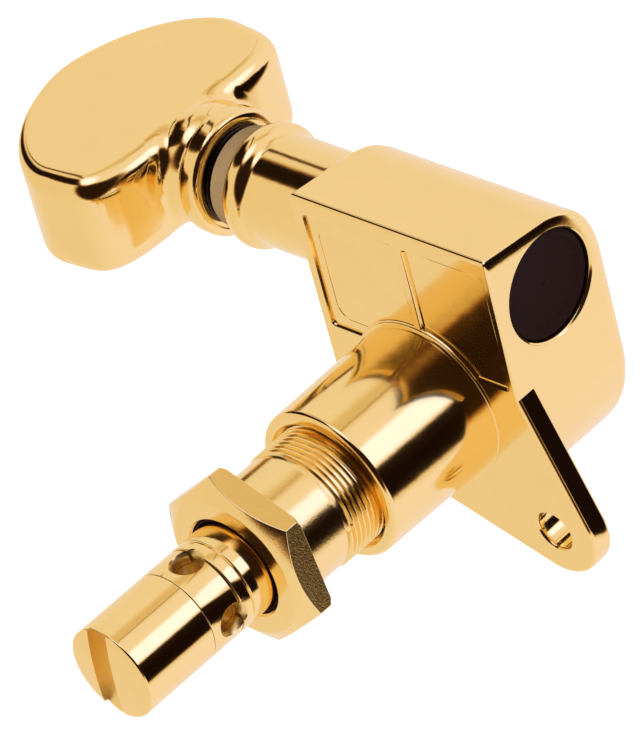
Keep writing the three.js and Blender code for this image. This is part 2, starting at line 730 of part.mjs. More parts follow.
function hexBushing() {
  const cornerRadius = hexFlatWidth / 2 / Math.cos(Math.PI / 6);
  const hex = new THREE.CylinderGeometry(cornerRadius, cornerRadius, hexFrontZ - hexBackZ, 6)
    .rotateX(Math.PI / 2)
    .rotateZ(Math.PI / 2 + hexTurn)
    .translate(0, 0, (hexFrontZ + hexBackZ) / 2);
  const chamfers = turnedSolid([
    [0, hexBackZ],
    [cornerRadius - hexBackChamferDrop, hexBackZ],
    [cornerRadius, hexBackZ + hexBackChamferDrop],
    [cornerRadius, hexFrontZ - hexChamferDrop],
    [hexChamferRadius, hexFrontZ],
    [0, hexFrontZ],
  ], fineSteps);
  const shank = join(
    rod(shankRadius, threadEndZ, hexBackZ + cutRun, fineSteps),
    rod(threadRootRadius, threadStartZ, threadEndZ + cutRun, threadSteps));
  const thread = screwRidge({
    root: threadRootRadius,
    tip: threadRadius,
    halfRoot: threadPitch * threadRootShare,
    halfTip: threadPitch * threadTipShare,
    pitch: threadPitch,
    low: threadStartZ + threadPitch / 2,
    high: threadEndZ,
    steps: threadSteps,
  });
  return cut(
    join(toSolid(hex).intersect(chamfers), shank, thread),
    rod(bushingBoreRadius, threadStartZ - cutRun, hexFrontZ + cutRun),
    rod(bearingPocketRadius, bearingPocketZ, hexFrontZ + cutRun),
    cone(bearingPocketRadius, hexFrontZ - pocketChamfer,
      bearingPocketRadius + pocketChamfer + cutRun, hexFrontZ + cutRun));
}

const bearingZ = bearingPocketZ + fitGap;
const postBearing = () =>
  ring(postRadius + bearingGap, bearingPocketRadius - fitGap, bearingZ, bearingZ + bearingLength);

// String post: foot tenon, journal, shoulder under the sleeve, and spindle

// The two string holes cross at right angles, and leave four mouths round the post
function stringHoles() {
  const hole = alongX(rod(holeRadius, -postRadius - cutRun, postRadius + cutRun, roundSteps / 2));
  const turn = THREE.MathUtils.radToDeg(holeTurn);
  return [0, 90].map((angle) => hole.rotate([0, 0, angle + turn]).translate([0, 0, holeZ]));
}

function stringPost() {
  const shoulderZ = wheelTopZ + fitGap;
  const grooveFloor = spindleRadius - ringGrooveDepth;
  const body = turnedSolid([
    [0, shoulderZ],
    [postRadius, shoulderZ],
    [postRadius, postGrooveZ],
    [postRadius - grooveDepth, postGrooveZ + grooveWidth / 2],
    [postRadius, postGrooveZ + grooveWidth],
    [postRadius, sleeveZ],
    [spindleRadius, sleeveZ],
    [spindleRadius, ringGrooveZ],
    [grooveFloor, ringGrooveZ],
    [grooveFloor, ringGrooveZ + ringGrooveLength],
    [spindleRadius, ringGrooveZ + ringGrooveLength],
    [spindleRadius, spindleTopZ],
    [0, spindleTopZ],
  ]);
  const tenon = flattedRod(tenonRadius, tenonFlatHalf, tenonFootZ, shoulderZ + cutRun);
  const tapped = rod(wheelScrewRadius + fitGap, tenonFootZ - cutRun,
    wheelFootZ + wheelScrewLength + cutRun / 2);
  return cut(join(body, tenon), tapped, ...stringHoles());
}

function keyPins(radius, length) {
  const middleRadius = (spindleRadius + postRadius) / 2 + runGap / 2;
  return [0, 180].map((angle) => {
    const turn = THREE.MathUtils.degToRad(angle) + keyPinTurn;
    return rod(radius, sleeveTopZ - length / 2, sleeveTopZ + length / 2, roundSteps / 4)
      .translate([middleRadius * Math.cos(turn), middleRadius * Math.sin(turn), 0]);
  });
}
const keyPinHoles = () => keyPins(keyPinRadius + fitGap / 2, keyPinLength + 2 * fitGap);

const lockSleeve = () => cut(
  ring(spindleRadius + runGap / 2, postRadius, sleeveZ + seamGap, sleeveTopZ),
  ...stringHoles(), ...keyPinHoles());

function postCap() {
  const low = sleeveTopZ + seamGap;
  const body = turnedSolid([
    [0, low],
    [postRadius, low],
    ...corner(postRadius - capRound, capEndZ - capRound, capRound, 0, 90),
    [0, capEndZ],
  ]);
  const slot = box(capSlotWidth, 4 * postRadius, 2 * capSlotDepth, capSlotShift, 0, 0)
    .rotate([0, 0, THREE.MathUtils.radToDeg(capSlotTurn) - 90])
    .translate([0, 0, capEndZ]);
  const inner = join(
    rod(spindleRadius + runGap / 2, low - cutRun, capRoofZ),
    rod(snapRingOutRadius + fitGap, ringGrooveZ, ringGrooveZ + ringGrooveLength));
  return cut(body, slot, inner, ...keyPinHoles());
}

function capSnapRing() {
  const low = ringGrooveZ + (ringGrooveLength - snapRingLength) / 2;
  const inner = spindleRadius - ringGrooveDepth + fitGap;
  const gap = box(snapRingOutRadius, 2 * snapRingLength, 2 * snapRingLength,
    snapRingOutRadius, 0, low + snapRingLength / 2);
  return cut(ring(inner, snapRingOutRadius, low, low + snapRingLength), gap);
}

function capSpringWasher() {
  const low = spindleTopZ + fitGap;
  const high = capRoofZ - fitGap;
  const inner = capSpringBoreRadius;
  const outer = spindleRadius - runGap;
  return turnedSolid([
    [inner, low],
    [outer, high - washerThickness],
    [outer, high],
    [inner, low + washerThickness],
    [inner, low],
  ]);
}

// Worm wheel: involute teeth, leaning across the face with the worm's own lead

function wheelOutline(turn) {
  const baseRadius = wheelPitchRadius * Math.cos(pressureAngle);
  const involute = (radius) => {
    const a = Math.acos(Math.min(1, baseRadius / radius));
    return Math.tan(a) - a;
  };
  const halfAtPitch = (toothPitch / 4 - toothPlay / 4) / wheelPitchRadius;
  const halfAt = (radius) => halfAtPitch + involute(wheelPitchRadius) - involute(radius);
  const radii = [wheelRootRadius];
  for (let i = 0; i <= flankSteps; i += 1) {
    radii.push(baseRadius + (wheelTipRadius - baseRadius) * i / flankSteps);
  }
  const points = [];
  for (let tooth = 0; tooth < wheelTeeth; tooth += 1) {
    const middle = 2 * Math.PI * (tooth + 0.5) / wheelTeeth - Math.PI / 2 + turn;
    const place = (radius, side) => {
      const angle = middle + side * halfAt(Math.max(radius, baseRadius));
      points.push([radius * Math.cos(angle), radius * Math.sin(angle)]);
    };
    radii.forEach((radius) => place(radius, -1));
    [...radii].reverse().forEach((radius) => place(radius, 1));
  }
  return points;
}

function wormWheel() {
  const leadPerRadian = toothPitch / (2 * Math.PI);
  const positions = [];
  for (let i = 0; i <= wheelLayers; i += 1) {
    const height = wheelThickness * (i / wheelLayers - 0.5);
    const turn = height * leadPerRadian / wormPitchRadius / wheelPitchRadius;
    for (const [x, y] of wheelOutline(turn)) positions.push(x, y, height - shaftDepth);
  }
  const count = wheelOutline(0).length;
  const index = [];
  for (let i = 0; i < wheelLayers; i += 1) {
    for (let k = 0; k < count; k += 1) {
      const [a, b] = [i * count + k, i * count + (k + 1) % count];
      index.push(a, b, b + count, a, b + count, a + count);
    }
  }
  const low = positions.length / 3;
  positions.push(0, 0, wheelFootZ, 0, 0, wheelTopZ);
  for (let k = 0; k < count; k += 1) {
    const next = (k + 1) % count;
    index.push(low, next, k, low + 1, wheelLayers * count + k, wheelLayers * count + next);
  }
  const blank = new THREE.BufferGeometry();
  blank.setAttribute('position', new THREE.Float32BufferAttribute(positions, 3));
  blank.setIndex(index);
  const socket = flattedRod(tenonRadius + fitGap, tenonFlatHalf + fitGap,
    wheelFootZ - cutRun, wheelTopZ + cutRun);
  return cut(toSolid(blank), socket);
}

const wheelLockWasher = () => ring(wheelScrewRadius + fitGap, lockWasherRadius,
  wheelFootZ - fitGap - lockWasherLength, wheelFootZ - fitGap);

const wheelScrew = () => slottedScrew({
  shank: wheelScrewRadius,
  head: wheelScrewHeadRadius,
  headLength: wheelScrewHeadLength,
  headRound: screwHeadRound,
  seat: wheelScrewSeatZ,
  end: wheelFootZ + wheelScrewLength,
  slotWidth: screwSlotWidth,
  slotDepth: screwSlotDepth,
});

const postThrustWasher = () => ring(postRadius + runGap, thrustRingOutRadius,
  wheelTopZ + fitGap, wheelTopZ + fitGap + thrustRingLength);

// Assembly

function piece(name, solid, material) {
  const mesh = new THREE.Mesh(toGeometry(solid), material);
  mesh.name = name;
  return mesh;
}

const group = new THREE.Group();
group.add(
  piece('housing', housing(), goldPlate),
  piece('gear_cover', gearCover(), goldPlate),
  piece('post_thrust_washer', postThrustWasher(), steel),
);

const shaftLine = new THREE.Group();
shaftLine.position.set(0, -shaftOffset, -shaftDepth);
shaftLine.add(
  piece('end_plug', alongX(endPlug()), blackPlastic),
  piece('end_bush', alongX(endBush()), brass),
  piece('rear_thrust_washer', alongX(rearThrustWasher()), steel),
  piece('worm_shaft', alongX(wormShaft()), steel),
  piece('front_thrust_washer', alongX(frontThrustWasher()), steel),
  piece('shaft_seal', alongX(shaftSeal()), rubber),
  piece('button_washer', alongX(buttonWasher()), nylon),
  piece('button_spring_washer', alongX(buttonSpringWasher()), steel),
  piece('button', button(), goldPlate),
  piece('button_screw', alongX(buttonScrew()), goldPlate),
);
group.add(shaftLine);

const postLine = new THREE.Group();
const pins = keyPins(keyPinRadius, keyPinLength);
postLine.add(
  piece('hex_bushing', hexBushing(), goldPlate),
  piece('post_bearing', postBearing(), blackPlastic),
  piece('string_post', stringPost(), goldPlate),
  piece('worm_wheel', wormWheel(), brass),
  piece('wheel_lock_washer', wheelLockWasher(), steel),
  piece('wheel_screw', wheelScrew(), steel),
  piece('lock_sleeve', lockSleeve(), goldPlate),
  piece('post_cap', postCap(), goldPlate),
  piece('cap_snap_ring', capSnapRing(), steel),
  piece('cap_spring_washer', capSpringWasher(), steel),
  ...pins.map((pin, i) => piece(`sleeve_pin_${i + 1}`, pin, steel)),
);
group.add(postLine);

export default group;
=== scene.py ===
# A sealed guitar tuning machine of the locking kind, gold plated, off its headstock.
# Pieces are made in millimetres and brought to metres as they are finished.
import json
import math

import bmesh
import bpy
from mathutils import Matrix, Quaternion, Vector


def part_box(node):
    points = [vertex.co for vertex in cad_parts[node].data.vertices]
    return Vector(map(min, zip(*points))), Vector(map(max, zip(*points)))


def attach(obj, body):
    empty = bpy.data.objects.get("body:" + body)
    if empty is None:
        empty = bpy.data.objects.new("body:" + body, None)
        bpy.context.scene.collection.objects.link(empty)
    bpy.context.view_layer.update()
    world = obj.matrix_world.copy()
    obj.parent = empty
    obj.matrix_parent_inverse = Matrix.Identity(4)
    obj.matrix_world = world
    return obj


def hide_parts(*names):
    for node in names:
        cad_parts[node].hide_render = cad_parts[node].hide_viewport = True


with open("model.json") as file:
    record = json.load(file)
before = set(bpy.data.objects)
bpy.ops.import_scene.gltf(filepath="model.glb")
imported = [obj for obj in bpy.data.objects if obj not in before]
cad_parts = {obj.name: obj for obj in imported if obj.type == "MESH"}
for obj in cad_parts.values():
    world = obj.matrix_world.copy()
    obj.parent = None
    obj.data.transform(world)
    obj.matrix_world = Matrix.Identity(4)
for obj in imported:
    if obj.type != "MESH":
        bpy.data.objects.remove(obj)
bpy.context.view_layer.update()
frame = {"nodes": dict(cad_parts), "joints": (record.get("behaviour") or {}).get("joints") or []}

scene = bpy.context.scene
scene.view_settings.view_transform = "Standard"

# Camera: it stands over the end of the string post, a little to the plug's side, and is rolled
# so that the post runs to the lower left of the picture and the button to the upper left.
aim_point = Vector((0.0047505, -0.0028899, 0.0034241))
sight_line = Vector((0.63429335, 0.58737837, -0.50265157))
camera_distance = 0.375
camera_roll = math.radians(130.4548)
sensor_width = 36
focal_share = 6500 / 740                # focal length over the picture's height

camera = bpy.data.objects.new("camera", bpy.data.cameras.new("camera"))
camera.data.sensor_width = sensor_width
camera.data.lens = sensor_width * focal_share
camera.data.clip_start = 0.01
camera.rotation_mode = "QUATERNION"
camera.location = aim_point - camera_distance * sight_line
camera.rotation_quaternion = (
    sight_line.to_track_quat("-Z", "Y") @ Quaternion((0, 0, -1), camera_roll))
scene.collection.objects.link(camera)
scene.camera = camera

# Studio: a white light tent. Polished gold shows the tent itself, so its panels and the dark
# gaps between them are drawn by direction, right, up and back from where the photographer stood.
tent_right, tent_up, tent_back = camera.rotation_quaternion.to_matrix().transposed()
diffuse_level = 0.72                    # what the tent sends to matt surfaces
floor_depth = 0.08                      # below the headstock face
floor_size = 4
floor_colour = (0.9, 0.9, 0.9, 1)
floor_glow = 0.42
lamp_places = {"key_lamp": (-0.6, -0.55, 0.75), "fill_lamp": (0.5, -0.3, 0.9)}
lamp_distance = 0.5
lamp_size = 0.35
lamp_power = 1.6

world = bpy.data.worlds.new("light tent")
scene.world = world
world.use_nodes = True
tent = world.node_tree
tent.nodes.clear()
tent_direction = tent.nodes.new("ShaderNodeTexCoord").outputs["Generated"]


def toward(axis):
    """How far the direction of sight points along an axis, from -1 to 1."""
    node = tent.nodes.new("ShaderNodeVectorMath")
    node.operation = "DOT_PRODUCT"
    node.inputs[1].default_value = axis
    tent.links.new(tent_direction, node.inputs[0])
    return node.outputs["Value"]


def past(value, edge, softness):
    """0 below an edge and 1 above it, soft across it."""
    node = tent.nodes.new("ShaderNodeMapRange")
    node.interpolation_type = "SMOOTHSTEP"
    node.inputs["From Min"].default_value = edge - softness
    node.inputs["From Max"].default_value = edge + softness
    tent.links.new(value, node.inputs["Value"])
    return node.outputs["Result"]


def combine(operation, first, second):
    """One sum or product of two values, each a socket or a number."""
    node = tent.nodes.new("ShaderNodeMath")
    node.operation = operation
    for socket, value in zip(node.inputs, (first, second)):
        if isinstance(value, (int, float)):
            socket.default_value = value
        else:
            tent.links.new(value, socket)
    return node.outputs["Value"]


def band(value, low, high, softness):
    """1 between two edges and 0 outside them."""
    return combine("SUBTRACT", past(value, low, softness), past(value, high, softness))


def sloped(value, slope, middle):
    """A value times a slope, added to what it is in the middle."""
    result = combine("MULTIPLY_ADD", value, slope)
    result.node.inputs[2].default_value = middle
    return result


to_right, to_up, to_back = (toward(axis) for axis in (tent_right, tent_up, tent_back))
to_left = combine("MULTIPLY", to_right, -1)
to_down = combine("MULTIPLY", to_up, -1)
room_opening = combine("MULTIPLY", past(to_right, 0.74, 0.04), past(to_back, -0.2, 0.1))

# each dark gap: its two masks and how much light it takes away
dark_gaps = [
    (band(to_up, -0.265, 0.275, 0.02), room_opening, 0.975),
    (band(to_up, -0.265, 0.1, 0.1), room_opening, 0.7),
    (band(to_up, 0.42, 0.79, 0.045), past(to_left, 0.5, 0.06), 0.97),
    (band(to_left, 0.385, 0.45, 0.02), past(to_up, 0.84, 0.03), 0.9),
    (band(to_right, 0.13, 0.152, 0.008), past(to_up, 0.9, 0.02), 0.45),
    (past(to_back, 0.1, 0.1), past(to_up, 0.93, 0.03), 0.25),
    (past(to_back, 0.66, 0.1), past(to_down, -0.48, 0.08), 0.95),
]
# each bright panel: which way it stands, its edge and how soft that is
bright_panels = [
    ((-0.673, -0.545, -0.5), 0.975, 0.012),
    ((-0.054, -0.98, 0.178), 0.95, 0.03),
]
panel_glow = 0.7
tent_level = sloped(to_right, slope=0.12, middle=1.06)
for first_mask, second_mask, depth in dark_gaps:
    gap = combine("MULTIPLY", first_mask, second_mask)
    kept = combine("SUBTRACT", 1, combine("MULTIPLY", gap, depth))
    tent_level = combine("MULTIPLY", tent_level, kept)
for axis, edge, softness in bright_panels:
    panel_light = combine("MULTIPLY", past(toward(axis), edge, softness), panel_glow)
    tent_level = combine("ADD", tent_level, panel_light)

# from the darkest gap to the hottest panel, warm in the dark because the room behind is warm
tent_range = 1.8
tent_colours = [
    (0, (0.007, 0.0033, 0.0028)),
    (0.08, (0.03, 0.014, 0.009)),
    (0.25, (0.133, 0.054, 0.032)),
    (0.5, (0.38, 0.20, 0.084)),
    (0.7, (0.66, 0.464, 0.252)),
    (0.88, (0.84, 0.692, 0.524)),
    (1.02, (0.90, 0.805, 0.767)),
    (1.15, (0.97, 0.881, 1.03)),
    (1.7, (1.22, 1.33, 2.34)),
]
tent_ramp = tent.nodes.new("ShaderNodeValToRGB")
while len(tent_ramp.color_ramp.elements) < len(tent_colours):
    tent_ramp.color_ramp.elements.new(0.5)
for element, (level, colour) in zip(tent_ramp.color_ramp.elements, tent_colours):
    element.position = level / tent_range
    element.color = (*colour, 1)
tent.links.new(combine("DIVIDE", tent_level, tent_range), tent_ramp.inputs["Fac"])

rays = tent.nodes.new("ShaderNodeLightPath")
seen_white = combine("MAXIMUM", rays.outputs["Is Camera Ray"], rays.outputs["Is Transmission Ray"])
plain_share = combine("MAXIMUM", seen_white, rays.outputs["Is Diffuse Ray"])
plain_level = sloped(seen_white, slope=1 - diffuse_level, middle=diffuse_level)
seen_colour = tent.nodes.new("ShaderNodeMix")
seen_colour.data_type = "RGBA"
tent.links.new(plain_share, seen_colour.inputs["Factor"])
tent.links.new(tent_ramp.outputs["Color"], seen_colour.inputs["A"])
tent.links.new(plain_level, seen_colour.inputs["B"])
background = tent.nodes.new("ShaderNodeBackground")
tent.links.new(seen_colour.outputs["Result"], background.inputs["Color"])
tent.links.new(background.outputs["Background"],
               tent.nodes.new("ShaderNodeOutputWorld").inputs["Surface"])

for name, place in lamp_places.items():
    lamp = bpy.data.objects.new(name, bpy.data.lights.new(name, "AREA"))
    lamp.data.shape = "DISK"
    lamp.data.size = lamp_size
    lamp.data.energy = lamp_power
    lamp.location = aim_point + lamp_distance * Vector(place).normalized()
    lamp.rotation_mode = "QUATERNION"
    lamp.rotation_quaternion = (aim_point - lamp.location).to_track_quat("-Z", "Y")
    lamp.visible_glossy = False
    scene.collection.objects.link(lamp)

floor_mesh = bmesh.new()
bmesh.ops.create_grid(floor_mesh, x_segments=1, y_segments=1, size=floor_size,
                      matrix=Matrix.Translation((0, 0, -floor_depth)))
floor = bpy.data.objects.new("floor", bpy.data.meshes.new("floor"))
floor_mesh.to_mesh(floor.data)
floor_mesh.free()
floor.visible_glossy = False
scene.collection.objects.link(floor)
floor_white = bpy.data.materials.new("floor white")
floor_white.use_nodes = True
floor_tree = floor_white.node_tree
floor_shader = floor_tree.nodes["Principled BSDF"]
floor_shader.inputs["Base Color"].default_value = floor_colour
floor_shader.inputs["Roughness"].default_value = 1
floor_shader.inputs["Specular IOR Level"].default_value = 0
floor_shader.inputs["Emission Color"].default_value = (1, 1, 1, 1)
floor_rays = floor_tree.nodes.new("ShaderNodeLightPath")
floor_glowing = floor_tree.nodes.new("ShaderNodeMath")
floor_glowing.operation = "MULTIPLY"
floor_glowing.inputs[1].default_value = floor_glow
floor_tree.links.new(floor_rays.outputs["Is Camera Ray"], floor_glowing.inputs[0])
floor_tree.links.new(floor_glowing.outputs["Value"], floor_shader.inputs["Emission Strength"])
floor.data.materials.append(floor_white)

# Gear case: one zinc die casting with its collar, shaft barrel and screw ear. It is polished
# and gold plated, and its face lies against the back of the headstock.
MM = 0.001
sharp_angle = math.radians(33)
overrun = 1                             # how far a cutting body runs past what it cuts
weld = 0.0001                           # points nearer than this are one point
fit = 0.04                              # between pieces pressed together
running = 0.1                           # between pieces that turn on each other
fine_steps = 128                        # facets round the larger turned bodies
case_low, case_high = (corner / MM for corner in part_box("housing"))
cover_low, cover_high = (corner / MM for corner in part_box("gear_cover"))
shaft_axis = Vector(next(joint["pos_m"] for joint in frame["joints"]
                         if joint["name"] == "button_turn")) / MM


def extruded(bm, distance):
    """Gives the flat faces in bm a thickness, as one closed body."""
    grown = bmesh.ops.extrude_face_region(bm, geom=bm.faces[:])["geom"]
    bmesh.ops.translate(bm, verts=[v for v in grown if isinstance(v, bmesh.types.BMVert)],
                        vec=distance)
    bmesh.ops.recalc_face_normals(bm, faces=bm.faces[:])
    return bm


def arc(bm, start, centre, angle, steps):
    """Sweeps a point about Z into an arc of edges and returns its first and last points."""
    first = bm.verts.new(start)
    swept = bmesh.ops.spin(bm, geom=[first], cent=centre, axis=(0, 0, 1), angle=angle, steps=steps)
    return first, next(v for v in swept["geom_last"] if isinstance(v, bmesh.types.BMVert))


def turned(profile, steps=96, closed=False):
    """A body turned about Z. Each point of its profile is (radius, height) or, where the
    corner is rounded, (radius, height, round)."""
    bm = bmesh.new()
    points = [bm.verts.new((point[0], 0, point[1])) for point in profile]
    for first, second in zip(points, points[1:]):
        bm.edges.new((first, second))
    if closed:
        bm.edges.new((points[-1], points[0]))
    for point, corner in zip(points, profile):
        if len(corner) > 2:
            bmesh.ops.bevel(bm, geom=[point], offset=corner[2], offset_type="OFFSET",
                            affect="VERTICES", segments=6, profile=0.5, material=-1)
    bmesh.ops.spin(bm, geom=bm.verts[:] + bm.edges[:], cent=(0, 0, 0), axis=(0, 0, 1),
                   angle=math.tau, steps=steps, use_merge=True)
    bmesh.ops.remove_doubles(bm, verts=bm.verts, dist=weld)
    bmesh.ops.recalc_face_normals(bm, faces=bm.faces[:])
    return bm


def rod(radius, low, high, steps=96):
    """A plain round body about Z, for a bore or a pin."""
    return turned([(0, low), (radius, low), (radius, high), (0, high)], steps)


def laid_along_x(bm):
    """Lays a body turned about Z along the X axis."""
    bmesh.ops.rotate(bm, cent=(0, 0, 0), matrix=Matrix.Rotation(math.pi / 2, 3, "Y"),
                     verts=bm.verts)
    return bm


def on_shaft(bm):
    """Lays a body turned about Z along the worm shaft's axis."""
    bmesh.ops.translate(laid_along_x(bm), verts=bm.verts, vec=shaft_axis)
    return bm


def moved(bm, place, turn=0):
    """bm turned about Z and moved to a place."""
    bmesh.ops.rotate(bm, cent=(0, 0, 0), matrix=Matrix.Rotation(turn, 3, "Z"), verts=bm.verts)
    bmesh.ops.translate(bm, verts=bm.verts, vec=place)
    return bm


def block(size, place):
    """A plain rectangular body, for a slot or a flat."""
    bm = bmesh.new()
    bmesh.ops.create_cube(bm, size=1)
    bmesh.ops.scale(bm, vec=size, verts=bm.verts)
    bmesh.ops.translate(bm, verts=bm.verts, vec=place)
    return bm


def bench_object(bm):
    """A passing object that holds bm while a modifier works on it."""
    mesh = bpy.data.meshes.new("bench")
    bm.to_mesh(mesh)
    bm.free()
    holder = bpy.data.objects.new("bench", mesh)
    scene.collection.objects.link(holder)
    return holder


def taken_off(holder, *others):
    """The shape that the holder's modifiers give it, as a new bmesh."""
    shown = holder.evaluated_get(bpy.context.evaluated_depsgraph_get())
    mesh = bpy.data.meshes.new_from_object(shown)
    bm = bmesh.new()
    bm.from_mesh(mesh)
    bpy.data.meshes.remove(mesh)
    for done in (holder, *others):
        data = done.data
        bpy.data.objects.remove(done)
        bpy.data.meshes.remove(data)
    return bm


def combined(body, tool, operation):
    """body joined with tool (UNION), cut by it (DIFFERENCE) or met with it (INTERSECT)."""
    other = bench_object(tool)
    holder = bench_object(body)
    step = holder.modifiers.new("step", "BOOLEAN")
    step.operation = operation
    step.solver = "MANIFOLD"
    step.object = other
    body = taken_off(holder, other)
    bmesh.ops.dissolve_degenerate(body, edges=body.edges, dist=weld)
    return body


def cut(body, *tools):
    """body with each tool cut out of it."""
    for tool in tools:
        body = combined(body, tool, "DIFFERENCE")
    return body


def rounded(body, radius_of, widest, segments=6):
    """body with its edges rounded: radius_of(edge) gives each edge's radius."""
    weight = body.edges.layers.float.new("bevel_weight_edge")
    for edge in body.edges:
        edge[weight] = radius_of(edge) / widest
    holder = bench_object(body)
    step = holder.modifiers.new("step", "BEVEL")
    step.limit_method = "WEIGHT"
    step.offset_type = "OFFSET"
    step.width = widest
    step.segments = segments
    step.use_clamp_overlap = False
    body = taken_off(holder)
    body.edges.layers.float.remove(body.edges.layers.float["bevel_weight_edge"])
    return body


def is_sharp(edge, angle=sharp_angle):
    """True for an outward edge sharper than an angle."""
    return edge.is_manifold and edge.is_convex and edge.calc_face_angle(0) > angle


def lies_at(edge, axis, place):
    """True if both ends of an edge lie at a place along X (0), Y (1) or Z (2)."""
    return all(abs(vert.co[axis] - place) < 10 * weld for vert in edge.verts)


def solid_piece(bm, name, crease=sharp_angle):
    """Brings a body to metres and makes it an object that shades smoothly between its edges."""
    bmesh.ops.scale(bm, vec=(MM, MM, MM), verts=bm.verts)
    for face in bm.faces:
        face.smooth = True
    for edge in bm.edges:
        edge.smooth = edge.calc_face_angle(0) < crease
    mesh = bpy.data.meshes.new(name)
    bm.to_mesh(mesh)
    bm.free()
    piece = bpy.data.objects.new(name, mesh)
    scene.collection.objects.link(piece)
    even = piece.modifiers.new("even shading", "WEIGHTED_NORMAL")
    even.mode = "FACE_AREA"
    even.keep_sharp = True
    return piece


case_wall = 1.745                       # round the gear cover, at the thinnest
case_half = cover_high.x + case_wall
case_top = -case_low.y
case_back = case_low.z
case_top_round = 4.1                    # where the flat top rolls into the back
case_top_lean = 1.06                    # how far the flat top would lean in over the whole depth
case_face_round = 0.3
case_side_round = 0.85                  # how far the end edges' rounds reach over the end faces
case_side_flatness = 0.26               # and their reach over the flat top, as a share of that
case_back_round = 1.2
ear_root_y = -2.5                       # where the ear's long side leaves the end face


def case_block():
    """The side view's outline met by the outline seen along the post."""
    side = bmesh.new()
    corners = [side.verts.new((-case_half - overrun, y, z)) for y, z in (
        (-case_top, 0), (-case_top + case_top_lean, case_back),
        (case_half + overrun, case_back), (case_half + overrun, 0))]
    side.faces.new(corners)
    bmesh.ops.bevel(side, geom=[corners[1]], offset=case_top_round, offset_type="OFFSET",
                    affect="VERTICES", segments=20, profile=0.5, material=-1)
    extruded(side, (2 * (case_half + overrun), 0, 0))
    plan = bmesh.new()
    first, last = arc(plan, (case_half, 0, case_back - overrun), (0, 0, case_back - overrun),
                      angle=math.pi, steps=72)
    far, near = (plan.verts.new((x, -case_top - overrun, case_back - overrun))
                 for x in (-case_half, case_half))
    for ends in ((last, far), (far, near), (near, first)):
        plan.edges.new(ends)
    bmesh.ops.contextual_create(plan, geom=plan.edges[:])
    extruded(plan, (0, 0, -case_back + 2 * overrun))
    return combined(side, plan, "INTERSECT")


def toward_back(height, at_front, at_back):
    """A value along the end edges, which changes where the flat top rolls into the back."""
    share = min(1, max(0, (case_back + case_top_round - height) / case_top_round))
    return at_front + (at_back - at_front) * share ** 2


def case_edge_radius(edge):
    """Small rounds at the face, larger ones at the back, and the end edges run between them."""
    if not is_sharp(edge):
        return 0
    if lies_at(edge, 2, 0):
        return case_face_round
    if lies_at(edge, 2, case_back):
        return case_back_round
    middle = (edge.verts[0].co.z + edge.verts[1].co.z) / 2
    return toward_back(middle, case_side_round, case_back_round)


def flatten_end_edges(body):
    """Polishing has taken more off the end faces, so their rounds are flat toward them."""
    for vert in body.verts:
        depth = case_half - abs(vert.co.x)
        reach = toward_back(vert.co.z, case_side_round, case_back_round)
        if vert.co.y < ear_root_y and depth < reach + case_side_round / 4:
            depth *= toward_back(vert.co.z, case_side_flatness, 1)
            vert.co.x = math.copysign(case_half - depth, vert.co.x)
    return body


ear_thickness = 1.6
ear_tip_radius = 3
ear_hole = Vector((case_low.x + ear_tip_radius, case_high.y - ear_tip_radius, 0))
ear_hole_radius = 1.25
ear_chamfer = 0.1
ear_chamfer_round = 0.1
ear_rim_round = 0.06


def screw_ear():
    """A flat ear: its tip's circle, the tangent to the round end and the long straight side."""
    reach = ear_hole.length
    lean = math.atan2(ear_hole.y, ear_hole.x)
    tangent = lean - math.acos((case_half - ear_tip_radius) / reach)
    root = Vector((-case_half, ear_root_y, 0)) - ear_hole
    side_tangent = math.atan2(root.y, root.x) - math.acos(ear_tip_radius / root.length) + math.tau
    bm = bmesh.new()
    outward = Vector((math.cos(tangent), math.sin(tangent), 0))
    first, last = arc(bm, ear_hole + ear_tip_radius * outward, ear_hole,
                      angle=side_tangent - tangent, steps=36)
    root, middle, start = (bm.verts.new(place) for place in (
        (-case_half, ear_root_y, 0), (0, 0, 0), case_half * outward))
    for ends in ((last, root), (root, middle), (middle, start), (start, first)):
        bm.edges.new(ends)
    bmesh.ops.contextual_create(bm, geom=bm.edges[:])
    extruded(bm, (0, 0, -ear_thickness))

    def edge_radius(edge):
        inner = any(vert.co.xy.length < case_half / 2 for vert in edge.verts)
        flat = lies_at(edge, 2, 0) or lies_at(edge, 2, -ear_thickness)
        return case_face_round if flat and not inner else 0
    return rounded(bm, edge_radius, case_face_round)


def ear_screw_hole():
    """The ear's screw hole, chamfered on both sides and polished over at the face."""
    wide = ear_hole_radius + ear_chamfer
    return moved(turned([
        (0, -ear_thickness - overrun), (wide, -ear_thickness - overrun), (wide, -ear_thickness),
        (ear_hole_radius, -ear_thickness + ear_chamfer),
        (ear_hole_radius, -ear_chamfer, ear_chamfer_round), (wide, 0, ear_rim_round),
        (ear_hole_radius + 2 * ear_chamfer, overrun), (0, overrun)], steps=64), ear_hole)


collar_end = case_high.z
collar_mouth_radius = 5
collar_foot_radius = 5.13
collar_ring_radius = 5.35
collar_ring_rise = 0.12
collar_ring_round = 0.06
collar_round = 0.35
thread_radius = 4
thread_mouth_chamfer = 0.28
thread_mouth_round = 0.05
post_radius = 3
tapped_floor = 1.5
wheel_room_radius = 5.645
wheel_room_roof = -2.6
cover_seat_depth = 0.75


def collar_body():
    """The collar, slightly tapered, on its low ring."""
    return turned([
        (0, case_back / 2), (collar_ring_radius, case_back / 2),
        (collar_ring_radius, collar_ring_rise, collar_ring_round),
        (collar_foot_radius, collar_ring_rise),
        (collar_mouth_radius, collar_end, collar_round), (0, collar_end)], fine_steps)


